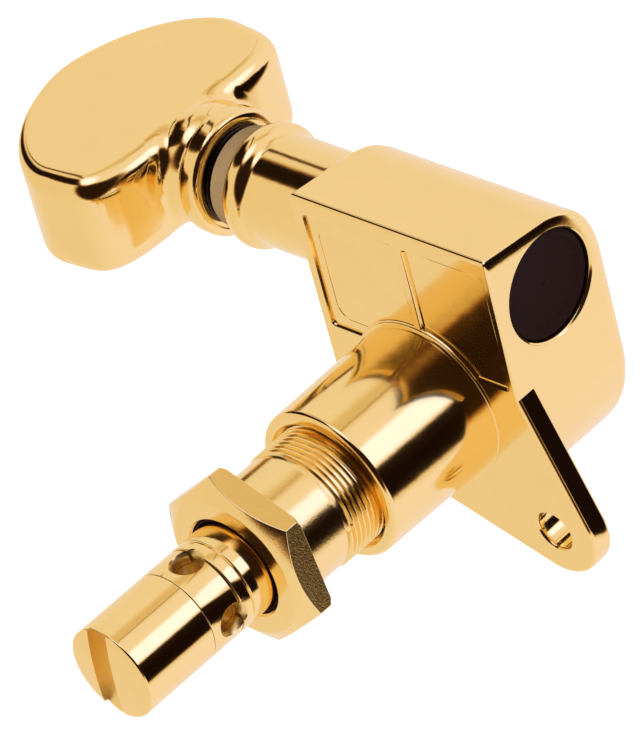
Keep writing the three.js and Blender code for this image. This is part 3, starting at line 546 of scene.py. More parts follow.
def bore_along_post():
    """The cover's seat, the worm wheel's room, the post's bore and the bushing's thread bore."""
    seat_radius = cover_high.x + fit
    tapped_radius = thread_radius + fit
    return turned([
        (0, case_back - overrun), (seat_radius, case_back - overrun),
        (seat_radius, case_back + cover_seat_depth),
        (wheel_room_radius, case_back + cover_seat_depth),
        (wheel_room_radius, wheel_room_roof), (post_radius + running, wheel_room_roof),
        (post_radius + running, tapped_floor), (tapped_radius, tapped_floor),
        (tapped_radius, collar_end - thread_mouth_chamfer),
        (tapped_radius + thread_mouth_chamfer, collar_end, thread_mouth_round),
        (tapped_radius + 2 * thread_mouth_chamfer, collar_end + overrun),
        (0, collar_end + overrun)], fine_steps)


barrel_end = case_high.x
barrel_flare_radius = 3.95              # where it meets the end face
barrel_flare_foot = 0.1
barrel_flare_foot_round = 0.08
barrel_flare_length = 0.6
barrel_waist_radius = 3.45
barrel_waist_round = 0.4
flange_radius = 3.88
flange_length = 0.65
flange_nose_length = 0.45
flange_rise_length = 0.5
flange_rise_round = 0.25
flange_round = 0.3
flange_face_radius = 3.62
flange_face_round = 0.15
end_bore_radius = 3.4
end_bore_chamfer = 0.14
end_bore_round = 0.04
end_bore_front = 4.6
shaft_radius = 2
seal_pocket_radius = 2.95
seal_pocket_length = 1.1


def barrel_body():
    """The shaft's barrel, waisted, with a rounded flange at its mouth."""
    flange_back = barrel_end - flange_nose_length - flange_length
    return on_shaft(turned([
        (0, case_half - overrun), (barrel_flare_radius, case_half - overrun),
        (barrel_flare_radius, case_half + barrel_flare_foot, barrel_flare_foot_round),
        (barrel_waist_radius, case_half + barrel_flare_length, barrel_waist_round),
        (barrel_waist_radius, flange_back - flange_rise_length, flange_rise_round),
        (flange_radius, flange_back, flange_round),
        (flange_radius, flange_back + flange_length, flange_round),
        (flange_face_radius, barrel_end, flange_face_round), (0, barrel_end)], steps=112))


def bore_along_shaft():
    """The plug's bore, the bush's and shaft's bore and the seal's pocket in the barrel."""
    return on_shaft(turned([
        (0, -case_half - overrun),
        (end_bore_radius + 2 * end_bore_chamfer, -case_half - overrun),
        (end_bore_radius + end_bore_chamfer, -case_half, end_bore_round),
        (end_bore_radius, -case_half + end_bore_chamfer, end_bore_round),
        (end_bore_radius, end_bore_front), (shaft_radius + running, end_bore_front),
        (shaft_radius + running, barrel_end - seal_pocket_length),
        (seal_pocket_radius, barrel_end - seal_pocket_length),
        (seal_pocket_radius, barrel_end + overrun), (0, barrel_end + overrun)]))


recess_depth = 0.2
recess_draft = 0.06
recess_round = 0.3
recess_rim_round = 0.08
recess_rim_angle = math.radians(50)     # sharper than this at the face is a recess's rim
recess_top_margin = 1.2
recess_low_y = -case_top + recess_top_margin
recess_high_y = -3
recess_end_margins = (0.5, 0.7)         # at the end face and toward the barrel
recess_rib = (-0.875, -0.325)           # the low rib between the two recesses
recess_spans = [(-case_half + recess_end_margins[0], recess_rib[0]),
                (recess_rib[1], case_half - recess_end_margins[1])]
panel_inset = 0.7
panel_depth = 0.025
panel_round = 1


def recess_cutter(span, inset, depth, corner):
    """A shallow pocket with rounded corners and drafted walls, open at the face."""
    from_x, to_x = span[0] + inset, span[1] - inset
    low_y, high_y = recess_low_y + inset, recess_high_y - inset
    bm = block((to_x - from_x, high_y - low_y, 2 * depth),
               ((from_x + to_x) / 2, (low_y + high_y) / 2, 0))
    uprights = [edge for edge in bm.edges if edge.verts[0].co.z * edge.verts[1].co.z < 0]
    bmesh.ops.bevel(bm, geom=uprights, offset=corner, offset_type="OFFSET", affect="EDGES",
                    segments=6, profile=0.5, material=-1)
    foot = next(face for face in bm.faces if face.normal.z < -0.5)
    middle = foot.calc_center_median()
    share = 1 - 2 * recess_draft / (to_x - from_x)
    bmesh.ops.scale(bm, vec=(share, share, 1), verts=foot.verts,
                    space=Matrix.Translation(-middle))
    return cut(bm, rod(collar_ring_radius + running, -2 * depth, 2 * depth, fine_steps))


def recess_rim_radius(edge):
    """The recesses' rims are softened by the polishing."""
    rim = is_sharp(edge, recess_rim_angle) and lies_at(edge, 2, 0)
    return recess_rim_round if rim else 0


def case_casting():
    """The block with its ear, recesses, collar and barrel, and everything bored out of it."""
    body = flatten_end_edges(rounded(case_block(), case_edge_radius, case_back_round))
    body = combined(body, screw_ear(), "UNION")
    for span in recess_spans:
        body = cut(body, recess_cutter(span, 0, recess_depth, recess_round))
    body = cut(body, recess_cutter(recess_spans[1], panel_inset, recess_depth + panel_depth,
                                   panel_round))
    body = rounded(body, recess_rim_radius, recess_rim_round, segments=2)
    for added in (collar_body(), barrel_body()):
        body = combined(body, added, "UNION")
    return cut(body, ear_screw_hole(), bore_along_post(), bore_along_shaft())


def grain_of(tree, fineness, detail):
    """A fine uneven pattern that is fixed to the piece."""
    place = tree.nodes.new("ShaderNodeTexCoord")
    pattern = tree.nodes.new("ShaderNodeTexNoise")
    pattern.inputs["Scale"].default_value = fineness
    pattern.inputs["Detail"].default_value = detail
    tree.links.new(place.outputs["Object"], pattern.inputs["Vector"])
    return pattern.outputs["Fac"]


def uneven_material(name, colour, tint_shares, roughness, gloss_shares, grain, detail):
    """A material whose tint and gloss each wander between two shares of what they are."""
    material = bpy.data.materials.new(name)
    material.use_nodes = True
    tree = material.node_tree
    shader = tree.nodes["Principled BSDF"]
    pattern = grain_of(tree, grain, detail)
    tint = tree.nodes.new("ShaderNodeValToRGB")
    for element, share in zip(tint.color_ramp.elements, tint_shares):
        element.color = (*(share * part for part in colour), 1)
    tree.links.new(pattern, tint.inputs["Fac"])
    tree.links.new(tint.outputs["Color"], shader.inputs["Base Color"])
    gloss = tree.nodes.new("ShaderNodeMapRange")
    for limit, share in zip(("To Min", "To Max"), gloss_shares):
        gloss.inputs[limit].default_value = share * roughness
    tree.links.new(pattern, gloss.inputs["Value"])
    tree.links.new(gloss.outputs["Result"], shader.inputs["Roughness"])
    return material, pattern


def roughen(material, pattern, height):
    """Raises a pattern on a material's surface by a very small height in metres."""
    tree = material.node_tree
    bump = tree.nodes.new("ShaderNodeBump")
    bump.inputs["Distance"].default_value = height
    tree.links.new(pattern, bump.inputs["Height"])
    tree.links.new(bump.outputs["Normal"], tree.nodes["Principled BSDF"].inputs["Normal"])
    return material


def metal(name, colour, roughness, grain, peel):
    """A polished or turned metal. Its peel is the slight unevenness left by the polishing."""
    peel_grain = 1.7 * grain            # finer than that of the tint and the gloss
    material, _ = uneven_material(name, colour, (0.94, 1), roughness, (0.7, 1.3), grain, detail=4)
    material.node_tree.nodes["Principled BSDF"].inputs["Metallic"].default_value = 1
    return roughen(material, grain_of(material.node_tree, peel_grain, detail=3), peel)


gold_colour = (1.0, 0.76, 0.31)
cast_gold = metal("cast and polished gold plate", gold_colour, roughness=0.11, grain=500,
                  peel=0.000006)
case_crease = math.radians(18)          # sharper than this is an edge, as at the ear's root
gear_case = solid_piece(case_casting(), "gear_case", case_crease)
gear_case.data.materials.append(cast_gold)
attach(gear_case, "case")
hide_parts("housing")

# Gear cover: a pressed brass disc with a shallow dish, plated with the case and pressed
# into the seat at its back, over the worm wheel.
cover_radius = cover_high.x
cover_edge_round = 0.15
cover_dish_radius = 4.2
cover_dish_depth = 0.2
cover_dish_foot_round = 0.15
cover_dish_rim_round = 0.12
back_cover = solid_piece(turned([
    (0, cover_low.z + cover_dish_depth),
    (cover_dish_radius, cover_low.z + cover_dish_depth, cover_dish_foot_round),
    (cover_dish_radius + cover_dish_depth, cover_low.z, cover_dish_rim_round),
    (cover_radius, cover_low.z, cover_edge_round),
    (cover_radius, cover_high.z), (0, cover_high.z)], fine_steps), "back_cover")
back_cover.data.materials.append(cast_gold)
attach(back_cover, "case")
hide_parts("gear_cover")

# End plug: a moulded black plastic plug with a raised rim and a gate dimple in its middle,
# pressed into the bore behind the shaft's end.
plug_low, plug_high = (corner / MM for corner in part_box("end_plug"))
plug_radius = plug_high.y - shaft_axis.y
plug_edge_round = 0.18
plug_rim_width = 0.4
plug_rim_round = 0.08
plug_dish_radius = plug_radius - plug_rim_width
plug_dish_depth = 0.25
plug_dish_round = 0.12
plug_dish_floor = plug_low.x + plug_dish_depth
plug_dimple_radius = 0.18
plug_dimple_rounds = (0.03, 0.05)       # of its floor and its rim
plug_dimple_floor = plug_dish_floor + plug_dimple_radius / 2


def plastic(name, colour, roughness, grain, texture):
    """A moulded plastic with a faint even texture and a slightly uneven gloss."""
    material, pattern = uneven_material(name, colour, (0.8, 1.2), roughness, (0.8, 1.2), grain,
                                        detail=5)
    shader = material.node_tree.nodes["Principled BSDF"]
    shader.inputs["Specular IOR Level"].default_value = 0.02
    return roughen(material, pattern, texture)


# the end plug's own black; the same black on the bearing ring is painted shade
black_plastic_and_painted_shade = plastic("black moulded plastic and painted shade", (0.016, 0.0062, 0.0056), roughness=0.42,
                        grain=4000, texture=0.000004)
shaft_plug = solid_piece(on_shaft(turned([
    (0, plug_dimple_floor), (plug_dimple_radius / 2, plug_dimple_floor, plug_dimple_rounds[0]),
    (plug_dimple_radius, plug_dish_floor, plug_dimple_rounds[1]),
    (plug_dish_radius - plug_dish_depth, plug_dish_floor, plug_dish_round),
    (plug_dish_radius, plug_low.x, plug_rim_round), (plug_radius, plug_low.x, plug_edge_round),
    (plug_radius, plug_high.x), (0, plug_high.x)])), "shaft_plug")
shaft_plug.data.materials.append(black_plastic_and_painted_shade)
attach(shaft_plug, "case")
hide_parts("end_plug")

# Worm, wheel, bush, washers, rings and pins inside: turned steel and brass, and a rubber
# seal in the barrel's mouth. They keep the frame's own solids.
steel = metal("turned steel", (0.60, 0.61, 0.62), roughness=0.28, grain=900, peel=0.000006)
brass = metal("machined brass", (0.72, 0.50, 0.20), roughness=0.3, grain=900, peel=0.000006)
rubber = plastic("black rubber", (0.02, 0.02, 0.02), roughness=0.7, grain=3000, texture=0.00001)
inner_nodes = {
    "worm_shaft": steel, "rear_thrust_washer": steel, "front_thrust_washer": steel,
    "post_thrust_washer": steel, "wheel_screw": steel, "wheel_lock_washer": steel,
    "cap_snap_ring": steel, "cap_spring_washer": steel, "sleeve_pin_1": steel,
    "sleeve_pin_2": steel, "worm_wheel": brass, "end_bush": brass, "shaft_seal": rubber,
}
for name, material in inner_nodes.items():
    for holder in frame["nodes"][name].material_slots:
        holder.material = material

# Nylon washer: a turned off-white nylon ring on the shaft, between the barrel and the button.
# It keeps the two plated pieces from rubbing.
nylon_low, nylon_high = (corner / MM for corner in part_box("button_washer"))
nylon_radius = nylon_high.y - shaft_axis.y
nylon_bore = shaft_radius + running
nylon_round = 0.12
nylon = plastic("off-white nylon", (0.25, 0.16, 0.075), roughness=0.45, grain=1800,
                texture=0.000003)
nylon_shader = nylon.node_tree.nodes["Principled BSDF"]
nylon_shader.inputs["Subsurface Weight"].default_value = 0.25
nylon_shader.inputs["Subsurface Scale"].default_value = 0.0006
neck_washer = solid_piece(on_shaft(turned([
    (nylon_bore, nylon_low.x), (nylon_radius, nylon_low.x, nylon_round),
    (nylon_radius, nylon_high.x, nylon_round), (nylon_bore, nylon_high.x)], closed=True)),
    "neck_washer")
neck_washer.data.materials.append(nylon)
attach(neck_washer, "case")
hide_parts("button_washer")

# Spring washer: a coned spring steel washer in the button's mouth, which keeps
# the shaft from rattling and sets how stiffly the button turns. Its near-black colour is painted
# shade: it stands for the shadow in the deep gap between the nylon washer and the button's lip.
spring_low, spring_high = (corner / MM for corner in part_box("button_spring_washer"))
spring_radius = spring_high.y - shaft_axis.y
spring_thickness = (spring_high.x - spring_low.x) / 2
spring_round = 0.04
# painted shade: the washer is near black so that the gap in the button's mouth reads as shadow
painted_shade_steel = metal("spring steel, black as painted shade", (0.03, 0.022, 0.02), roughness=0.45, grain=900,
                    peel=0.000004)
coned_washer = solid_piece(on_shaft(turned([
    (nylon_bore, spring_low.x), (spring_radius, spring_low.x + spring_thickness, spring_round),
    (spring_radius, spring_high.x, spring_round), (nylon_bore, spring_low.x + spring_thickness)],
    closed=True)), "coned_washer")
coned_washer.data.materials.append(painted_shade_steel)
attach(coned_washer, "shaft")
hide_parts("button_spring_washer")

# Button: a half-moon knob cast in one with its round neck, then polished and plated. The
# neck has a bead at its mouth and a groove behind it, and runs into the plate in soft fillets.
button_low, button_high = (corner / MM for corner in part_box("button"))
button_back = 19.85                     # the nearly straight side, toward the case
button_wide = 24.6                      # where it is widest
button_tip = button_high.x
button_widening = 0.14                  # each side, on what the frame's solid has
button_half = (button_high.z - button_low.z) / 2 + button_widening
button_thickness = 7
button_rim_round = 1.4                  # along the straight side and round its corners
button_tip_round = 0.55                 # along the curved side
button_round_change = (20.8, 30)        # between these the one runs into the other
button_rim_steps = 8
back_power = 4.4                        # how square the straight side's corners are
tip_power = 1.68                        # how round the curved side is
neck_face = button_low.x
neck_recess_radius = 3.3
neck_mouth_flare = 0.2
lip_radius = 3.95
lip_end = neck_face + 1.5
lip_round = 0.4
groove_radius = 3.45
groove_start = lip_end + 0.05
groove_end = lip_end + 0.35
groove_round = 0.1
neck_radius = 3.75
neck_start = lip_end + 0.65
neck_start_round = 0.2
neck_sunk = 0.5                         # how far its end lies in the plate
neck_end_round = 0.5
neck_end_radius = button_thickness / 2 - 0.3
blend_reach = 1.1                       # how far the fillets run from the plate's side
blend_rounds = 60                       # of smoothing there
skin_rounds = 4                         # of smoothing all over
voxel = 0.11
shaft_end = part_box("worm_shaft")[1].x / MM
shaft_flat = shaft_end - 6.3            # where its two flats begin
shaft_flat_half = 1.5
screw_low, screw_high = (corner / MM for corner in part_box("button_screw"))
screw_shank_radius = 1.2
screw_head_radius = 2.2
screw_head_length = 1.5


def half_moon(across, along):
    """A point of the outline, and which way is outward there, for a point of a unit circle.
    There is one power curve on each side of the widest line."""
    power, reach = ((tip_power, button_tip - button_wide) if along > 0
                    else (back_power, button_wide - button_back))
    sizes = (reach, button_half)
    shares = [math.copysign(abs(part) ** (2 / power), part) for part in (along, across)]
    outward = Vector([math.copysign(abs(share) ** (power - 1), share) / size
                      for share, size in zip(shares, sizes)]).normalized()
    return Vector([share * size for share, size in zip(shares, sizes)]), outward


def button_plate():
    """The half-moon plate, its rim rounded more along the straight side than round the tip."""
    bm = bmesh.new()
    bmesh.ops.create_cone(bm, cap_ends=True, segments=180, radius1=1, radius2=1, depth=2)
    sides = [edge for edge in bm.edges if edge.verts[0].co.z * edge.verts[1].co.z < 0]
    bmesh.ops.subdivide_edges(bm, edges=sides, cuts=2 * button_rim_steps)
    low, high = button_round_change
    for vert in bm.verts:
        # the rim leans over by a quarter turn from the plate's side to its face, at step 0
        level = round((vert.co.z + 1) * (2 * button_rim_steps + 1) / 2)
        step = min(level, 2 * button_rim_steps + 1 - level)
        lean = (1 - step / button_rim_steps) * math.pi / 2
        point, outward = half_moon(vert.co.x, vert.co.y)
        share = min(1, max(0, (point.x + button_wide - low) / (high - low)))
        share *= share * (3 - 2 * share)
        rim_round = button_rim_round + (button_tip_round - button_rim_round) * share
        point -= outward * rim_round * (1 - math.cos(lean))
        height = button_thickness / 2 - rim_round * (1 - math.sin(lean))
        vert.co = (button_wide + point.x, math.copysign(height, vert.co.z), point.y)
    bmesh.ops.recalc_face_normals(bm, faces=bm.faces[:])
    return moved(bm, (0, shaft_axis.y, shaft_axis.z))


def button_neck():
    """The neck, with a bead at its mouth and a groove behind it, and its end in the plate."""
    return on_shaft(turned([
        (0, neck_face), (lip_radius, neck_face, lip_round), (lip_radius, lip_end, lip_round),
        (groove_radius, groove_start, groove_round), (groove_radius, groove_end, groove_round),
        (neck_radius, neck_start, neck_start_round),
        (neck_radius, button_back + neck_sunk / 2, neck_end_round),
        (neck_end_radius, button_back + 2 * neck_sunk),
        (0, button_back + 2 * neck_sunk)], fine_steps))


def button_bore():
    """The spring washer's recess, the shaft's flatted bore and the screw's stepped one."""
    floor = spring_high.x + fit
    seat = screw_high.x - screw_head_length - fit
    bore = turned([
        (0, neck_face - overrun), (neck_recess_radius + neck_mouth_flare, neck_face - overrun),
        (neck_recess_radius + neck_mouth_flare, neck_face - neck_mouth_flare),
        (neck_recess_radius, neck_face + neck_mouth_flare, neck_mouth_flare),
        (neck_recess_radius, floor), (shaft_radius + fit, floor),
        (shaft_radius + fit, shaft_end + fit), (screw_shank_radius + running, shaft_end + fit),
        (screw_shank_radius + running, seat), (screw_head_radius + running, seat),
        (screw_head_radius + running, button_tip + overrun), (0, button_tip + overrun)])
    flat_length = shaft_end + fit - shaft_flat
    flat_middle = (shaft_end + fit + shaft_flat) / 2
    for side in (-1, 1):
        flat_y = side * (shaft_flat_half + fit + shaft_radius / 2)
        bore = cut(bore, block((2 * shaft_radius, shaft_radius, flat_length),
                               (0, flat_y, flat_middle)))
    return on_shaft(bore)


def button_body():
    """Plate and neck melted into one casting, then bored for the shaft, washers and screw."""
    holder = bench_object(combined(button_plate(), button_neck(), "UNION"))
    step = holder.modifiers.new("step", "REMESH")
    step.mode = "VOXEL"
    step.voxel_size = voxel
    body = taken_off(holder)
    for reach, rounds in ((None, skin_rounds), (blend_reach, blend_rounds)):
        near = [vert for vert in body.verts if reach is None or (
            abs(vert.co.x - button_back) < reach
            and abs((vert.co - shaft_axis).yz.length - neck_radius) < reach)]
        for _ in range(rounds):
            bmesh.ops.smooth_vert(body, verts=near, factor=0.5, use_axis_x=True,
                                  use_axis_y=True, use_axis_z=True)
    return cut(body, button_bore())


button_piece = solid_piece(button_body(), "button_knob")
button_piece.data.materials.append(cast_gold)
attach(button_piece, "shaft")
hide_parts("button")

# Button screw: a slotted cheese-head screw, turned and plated, sunk in the button's tip and
# driven into the end of the shaft.
turned_gold = metal("turned and polished gold plate", gold_colour, roughness=0.09, grain=700,
                    peel=0.000003)
screw_tip_round = 0.2
screw_seat = screw_high.x - screw_head_length
screw_seat_round = 0.08
screw_head_round = 0.4
screw_slot_width = 0.6
screw_slot_depth = 0.7
tip_screw = solid_piece(on_shaft(cut(
    turned([
        (0, screw_low.x), (screw_shank_radius, screw_low.x, screw_tip_round),
        (screw_shank_radius, screw_seat), (screw_head_radius, screw_seat, screw_seat_round),
        (screw_head_radius, screw_high.x, screw_head_round), (0, screw_high.x)]),
    block((4 * screw_head_radius, screw_slot_width, 2 * screw_slot_depth),
          (0, 0, screw_high.x)))), "tip_screw")
tip_screw.data.materials.append(turned_gold)
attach(tip_screw, "shaft")
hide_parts("button_screw")

# Hex bushing: a hollow brass screw with a hexagon head, turned, threaded and plated. It is
# screwed into the collar from the front of the headstock and clamps the machine in place.
hex_low, hex_high = (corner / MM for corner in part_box("hex_bushing"))
hex_front = hex_high.z
hex_thickness = 2
hex_back = hex_front - hex_thickness
hex_flats = 2 * collar_mouth_radius
hex_turn = math.radians(-20)
hex_chamfer_width = 0.5
hex_chamfer_drop = 0.9
hex_back_chamfer = 0.2
hex_edge_round = 0.05
shank_radius = 3.88
stem_end_round = 0.1
thread_root = 3.8
thread_lead = 0.75
thread_starts = 2
thread_pitch = thread_lead / thread_starts
thread_foot = 0.1                       # how far a ridge's foot is sunk in the bushing
thread_crest_share = 0.1                # half a ridge's width at its crest, of the pitch
thread_foot_share = 0.44                # and at its foot
thread_start = hex_low.z
thread_end = collar_end + 2.8           # where the shank begins
thread_relief = 0.25                    # the slope up to the shank
thread_steps = 64                       # per turn
bushing_bore = 3.2
pocket_radius = 3.24
pocket_depth = 1.6
pocket_chamfer = 0.15
pocket_chamfer_rounds = (0.08, 0.05)    # of its foot and its rim
pocket_cutter_flare = 0.5               # how far the cutter opens in front of the hexagon


def thread_ridge(turn):
    """A right-handed ridge, swept up its helix with its foot sunk in the bushing."""
    bm = bmesh.new()
    sunk = thread_root - thread_foot
    low = thread_start + thread_lead / 2
    turns = (thread_end - thread_lead / 2 - low) / thread_lead
    foot = thread_foot_share * thread_pitch
    crest = thread_crest_share * thread_pitch
    section = [bm.verts.new((radius, 0, low + height)) for radius, height in (
        (sunk, -foot), (thread_radius, -crest), (thread_radius, crest), (sunk, foot))]
    bm.faces.new(section)
    steps = round(turns * thread_steps)
    bmesh.ops.spin(bm, geom=bm.faces[:] + bm.edges[:] + bm.verts[:], cent=(0, 0, 0),
                   axis=(0, 0, 1), dvec=(0, 0, thread_lead / thread_steps),
                   angle=math.tau * steps / thread_steps, steps=steps)
    bmesh.ops.remove_doubles(bm, verts=bm.verts, dist=weld)
    bmesh.ops.recalc_face_normals(bm, faces=bm.faces[:])
    return moved(bm, (0, 0, 0), turn)


def bushing_body():
    """The chamfered hexagon on its shank, with the thread's ridges and the bores."""
    corner_radius = hex_flats / 2 / math.cos(math.pi / 6)
    head = bmesh.new()
    bmesh.ops.create_cone(head, cap_ends=True, segments=6, radius1=corner_radius,
                          radius2=corner_radius, depth=hex_thickness + overrun)
    moved(head, (0, 0, (hex_front + hex_back) / 2), math.pi / 6 + hex_turn)
    front_radius = hex_flats / 2 - hex_chamfer_width
    past_corner = corner_radius + hex_back_chamfer
    drop = hex_chamfer_drop * (past_corner - front_radius) / (corner_radius - front_radius)
    head = combined(head, turned([
        (0, hex_back), (corner_radius - hex_back_chamfer, hex_back),
        (past_corner, hex_back + 2 * hex_back_chamfer), (past_corner, hex_front - drop),
        (front_radius, hex_front), (0, hex_front)], fine_steps), "INTERSECT")
    head = rounded(head, lambda edge: hex_edge_round if is_sharp(edge) else 0, hex_edge_round,
                   segments=2)
    stem = turned([
        (0, thread_start), (thread_root, thread_start, stem_end_round),
        (thread_root, thread_end - thread_relief), (shank_radius, thread_end),
        (shank_radius, hex_back + overrun / 2), (0, hex_back + overrun / 2)], fine_steps)
    body = combined(stem, head, "UNION")
    for start in range(thread_starts):
        body = combined(body, thread_ridge(start * math.tau / thread_starts), "UNION")
    return cut(body, turned([
        (0, thread_start - overrun), (bushing_bore, thread_start - overrun),
        (bushing_bore, hex_front - pocket_depth), (pocket_radius, hex_front - pocket_depth),
        (pocket_radius, hex_front - pocket_chamfer, pocket_chamfer_rounds[0]),
        (pocket_radius + pocket_chamfer, hex_front, pocket_chamfer_rounds[1]),
        (pocket_radius + pocket_cutter_flare, hex_front + overrun),
        (0, hex_front + overrun)], fine_steps))


machined_gold = metal("turned gold plate, as machined", gold_colour, roughness=0.15, grain=5000,
                      peel=0.000004)
clamp_bushing = solid_piece(bushing_body(), "clamp_bushing")
clamp_bushing.data.materials.append(machined_gold)
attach(clamp_bushing, "bushing")
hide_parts("hex_bushing")

# Post bearing: a thin plastic ring in the hexagon's mouth, which steadies the post. Its black is
# painted shade: raised a little out of the mouth, it shows as the dark line of shadow round the
# post.
bearing_low, bearing_high = (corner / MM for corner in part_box("post_bearing"))
bearing_gap = 0.06                      # to the post
bearing_rise = 0.3                      # above the frame's solid
bearing_bore = post_radius + bearing_gap
bearing_top = bearing_high.z + bearing_rise
bearing_radius = pocket_radius - fit
bearing_foot_round = 0.05
bearing_rim_round = 0.04
bearing_lead_round = 0.1                # where the post goes in
bearing_ring = solid_piece(turned([
    (bearing_bore, bearing_low.z), (bearing_radius, bearing_low.z, bearing_foot_round),
    (bearing_radius, bearing_top, bearing_rim_round),
    (bearing_bore, bearing_top, bearing_lead_round)], closed=True), "bearing_ring")
# painted shade: the ring is black so that it stands for the shadow in the gap between post and
# hexagon
bearing_ring.data.materials.append(black_plastic_and_painted_shade)
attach(bearing_ring, "bearing")
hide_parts("post_bearing")

# String post: turned brass, plated. Its foot carries the worm wheel, its shank runs in the
# bushing, and above its shoulder a thinner spindle carries the sleeve and the cap.
post_low, post_high = (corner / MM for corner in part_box("string_post"))
sleeve_low, sleeve_high = (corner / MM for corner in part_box("lock_sleeve"))
ring_low, ring_high = (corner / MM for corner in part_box("cap_snap_ring"))
seam = 0.12
seam_round = 0.06
crisp_round = 0.03                      # on edges that are left nearly sharp
post_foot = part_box("worm_wheel")[1].z / MM + fit
post_end_round = 0.1
post_groove = hex_front + 1.5           # a turned line between hexagon and shoulder
post_groove_width = 0.16
post_groove_depth = 0.12
post_shoulder = sleeve_low.z - seam
spindle_radius = 2.2
string_hole_height = post_shoulder + 0.78
string_hole_radius = 0.78
string_hole_turn = math.radians(-4)
hole_mouth_radius = 1.12
hole_edge_round = 0.3
tenon_radius = 2
tenon_flat_half = 1.5
wheel_screw_radius = 0.9
wheel_screw_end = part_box("wheel_screw")[1].z / MM
snap_groove_depth = 0.35
snap_ring_room = 0.06
drilled_depth = 0.05                    # how far under the outside the drilled finish begins


def string_holes():
    """Two crossed holes through the post, which leave four belled mouths round it."""
    bell = hole_mouth_radius - string_hole_radius
    throat = math.sqrt(post_radius ** 2 - string_hole_radius ** 2) - bell
    mouth = post_radius
    tools = []
    for turn in (string_hole_turn, string_hole_turn + math.pi / 2):
        hole = turned([
            (0, -mouth - overrun), (hole_mouth_radius + overrun, -mouth - overrun),
            (hole_mouth_radius, -mouth, hole_edge_round),
            (string_hole_radius, -throat, hole_edge_round),
            (string_hole_radius, throat, hole_edge_round),
            (hole_mouth_radius, mouth, hole_edge_round),
            (hole_mouth_radius + overrun, mouth + overrun), (0, mouth + overrun)], steps=64)
        tools.append(moved(laid_along_x(hole), (0, 0, string_hole_height), turn))
    return tools


def flatted(radius, half, low, high):
    """A round bar with two flats."""
    return combined(rod(radius, low, high), block(
        (4 * radius, 2 * half, high - low + overrun), (0, 0, (low + high) / 2)), "INTERSECT")


def post_body():
    """The post and its spindle, with the foot's tenon, the tapped bore and the holes."""
    groove_low = ring_low.z - snap_ring_room
    groove_high = ring_high.z + snap_ring_room
    body = turned([
        (0, post_foot), (post_radius, post_foot, post_end_round),
        (post_radius, post_groove, crisp_round),
        (post_radius - post_groove_depth, post_groove + post_groove_width / 2),
        (post_radius, post_groove + post_groove_width, crisp_round),
        (post_radius, post_shoulder, seam_round), (spindle_radius, post_shoulder),
        (spindle_radius, groove_low), (spindle_radius - snap_groove_depth, groove_low),
        (spindle_radius - snap_groove_depth, groove_high), (spindle_radius, groove_high),
        (spindle_radius, post_high.z, post_end_round), (0, post_high.z)], fine_steps)
    tenon = flatted(tenon_radius, tenon_flat_half, post_low.z, post_foot + overrun)
    body = combined(body, tenon, "UNION")
    tapped = rod(wheel_screw_radius + fit, post_low.z - overrun, wheel_screw_end + overrun / 2,
                 steps=48)
    return cut(body, tapped, *string_holes())


drilled_gold = metal("drilled gold plate, unpolished", gold_colour, roughness=0.36, grain=1800,
                     peel=0.000006)


def drilled_inside(piece):
    """Polished outside, and dull where the string holes were drilled."""
    piece.data.materials.append(turned_gold)
    piece.data.materials.append(drilled_gold)
    for face in piece.data.polygons:
        across = face.center.xy.length / MM
        along = abs(face.center.z / MM - string_hole_height)
        inside = spindle_radius - overrun < across < post_radius - drilled_depth
        face.material_index = int(inside and along < hole_mouth_radius)


post_piece = solid_piece(post_body(), "winding_post", case_crease)
drilled_inside(post_piece)
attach(post_piece, "post")
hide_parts("string_post")

# Lock sleeve: a turned and plated collar round the spindle. The upper halves of the string
# holes run through it, so turning it with the cap nips the string.
sleeve_bore = spindle_radius + running / 2
pin_radius = 0.22
pin_turns = (math.radians(41), math.radians(221))
pin_middle = (spindle_radius + post_radius) / 2 + running / 2
pin_low, pin_high = (corner.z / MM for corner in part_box("sleeve_pin_1"))


def pin_holes():
    """Two blind holes for the key pins between sleeve and cap."""
    return [moved(rod(pin_radius, pin_low - fit, pin_high + fit, steps=24),
                  (pin_middle * math.cos(turn), pin_middle * math.sin(turn), 0))
            for turn in pin_turns]


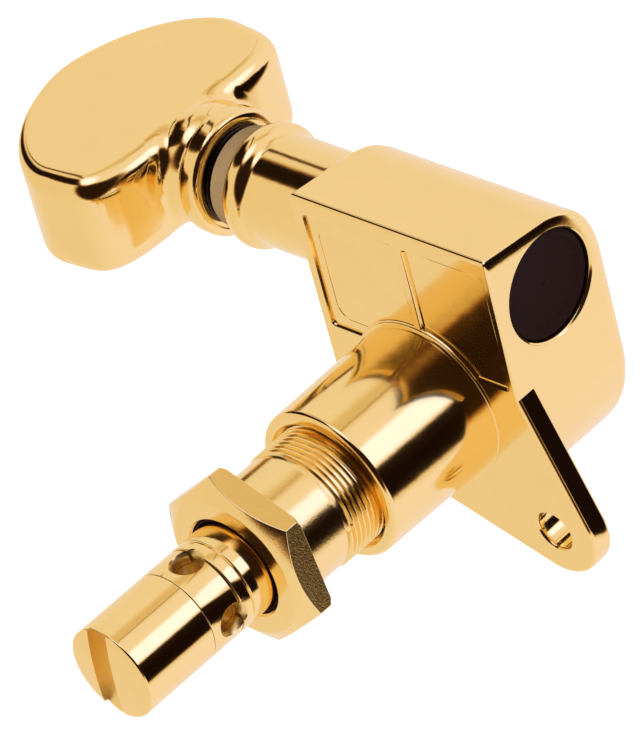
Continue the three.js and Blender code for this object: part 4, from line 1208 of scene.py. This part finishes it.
nip_sleeve = solid_piece(cut(turned([
    (sleeve_bore, sleeve_low.z), (post_radius, sleeve_low.z, seam_round),
    (post_radius, sleeve_high.z, crisp_round), (sleeve_bore, sleeve_high.z)],
    fine_steps, closed=True),
    *string_holes(), *pin_holes()), "nip_sleeve", case_crease)
drilled_inside(nip_sleeve)
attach(nip_sleeve, "cap")
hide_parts("lock_sleeve")

# Cap: turned brass, plated, with a coin slot milled across its end a little off the middle.
# It turns the sleeve through its two key pins, and a snap ring holds it on the spindle.
cap_low, cap_high = (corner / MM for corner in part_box("post_cap"))
cap_round = 0.12
cap_dome_radius = 1.6                   # the end is flat inside this and falls away outside it
cap_dome_drop = 0.16
cap_dome_round = 0.8
cap_slot_width = 1.5
cap_slot_depth = 1.1                    # in the middle, as a round saw cuts it
cap_saw_radius = 6
cap_slot_turn = math.radians(-4)
cap_slot_shift = 0.45
cap_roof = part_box("cap_spring_washer")[1].z / MM + fit
snap_room_radius = ring_high.x + fit


def cap_body():
    """The slightly domed cap with its coin slot, the spindle's bore and the snap ring's room."""
    body = turned([
        (0, cap_low.z), (post_radius, cap_low.z, crisp_round),
        (post_radius, cap_high.z - cap_dome_drop, cap_round),
        (cap_dome_radius, cap_high.z, cap_dome_round), (0, cap_high.z)], fine_steps)
    saw = laid_along_x(rod(cap_saw_radius, -cap_slot_width / 2, cap_slot_width / 2, steps=160))
    bmesh.ops.translate(saw, verts=saw.verts, vec=(cap_slot_shift, 0, 0))
    saw_height = cap_high.z - cap_slot_depth + cap_saw_radius
    body = cut(body, moved(saw, (0, 0, saw_height), cap_slot_turn))
    bore = rod(sleeve_bore, cap_low.z - overrun, cap_roof)
    ring_room = rod(snap_room_radius, ring_low.z - snap_ring_room, ring_high.z + snap_ring_room)
    return cut(body, bore, ring_room, *pin_holes())


slotted_cap = solid_piece(cap_body(), "slotted_cap")
slotted_cap.data.materials.append(turned_gold)
slotted_cap.data.materials.append(drilled_gold)
for face in slotted_cap.data.polygons:
    middle = Matrix.Rotation(-cap_slot_turn, 3, "Z") @ face.center / MM
    in_slot = abs(middle.x - cap_slot_shift) < cap_slot_width / 2 + weld
    face.material_index = int(in_slot and middle.z > cap_high.z - cap_slot_depth - weld)
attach(slotted_cap, "cap")
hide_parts("post_cap")
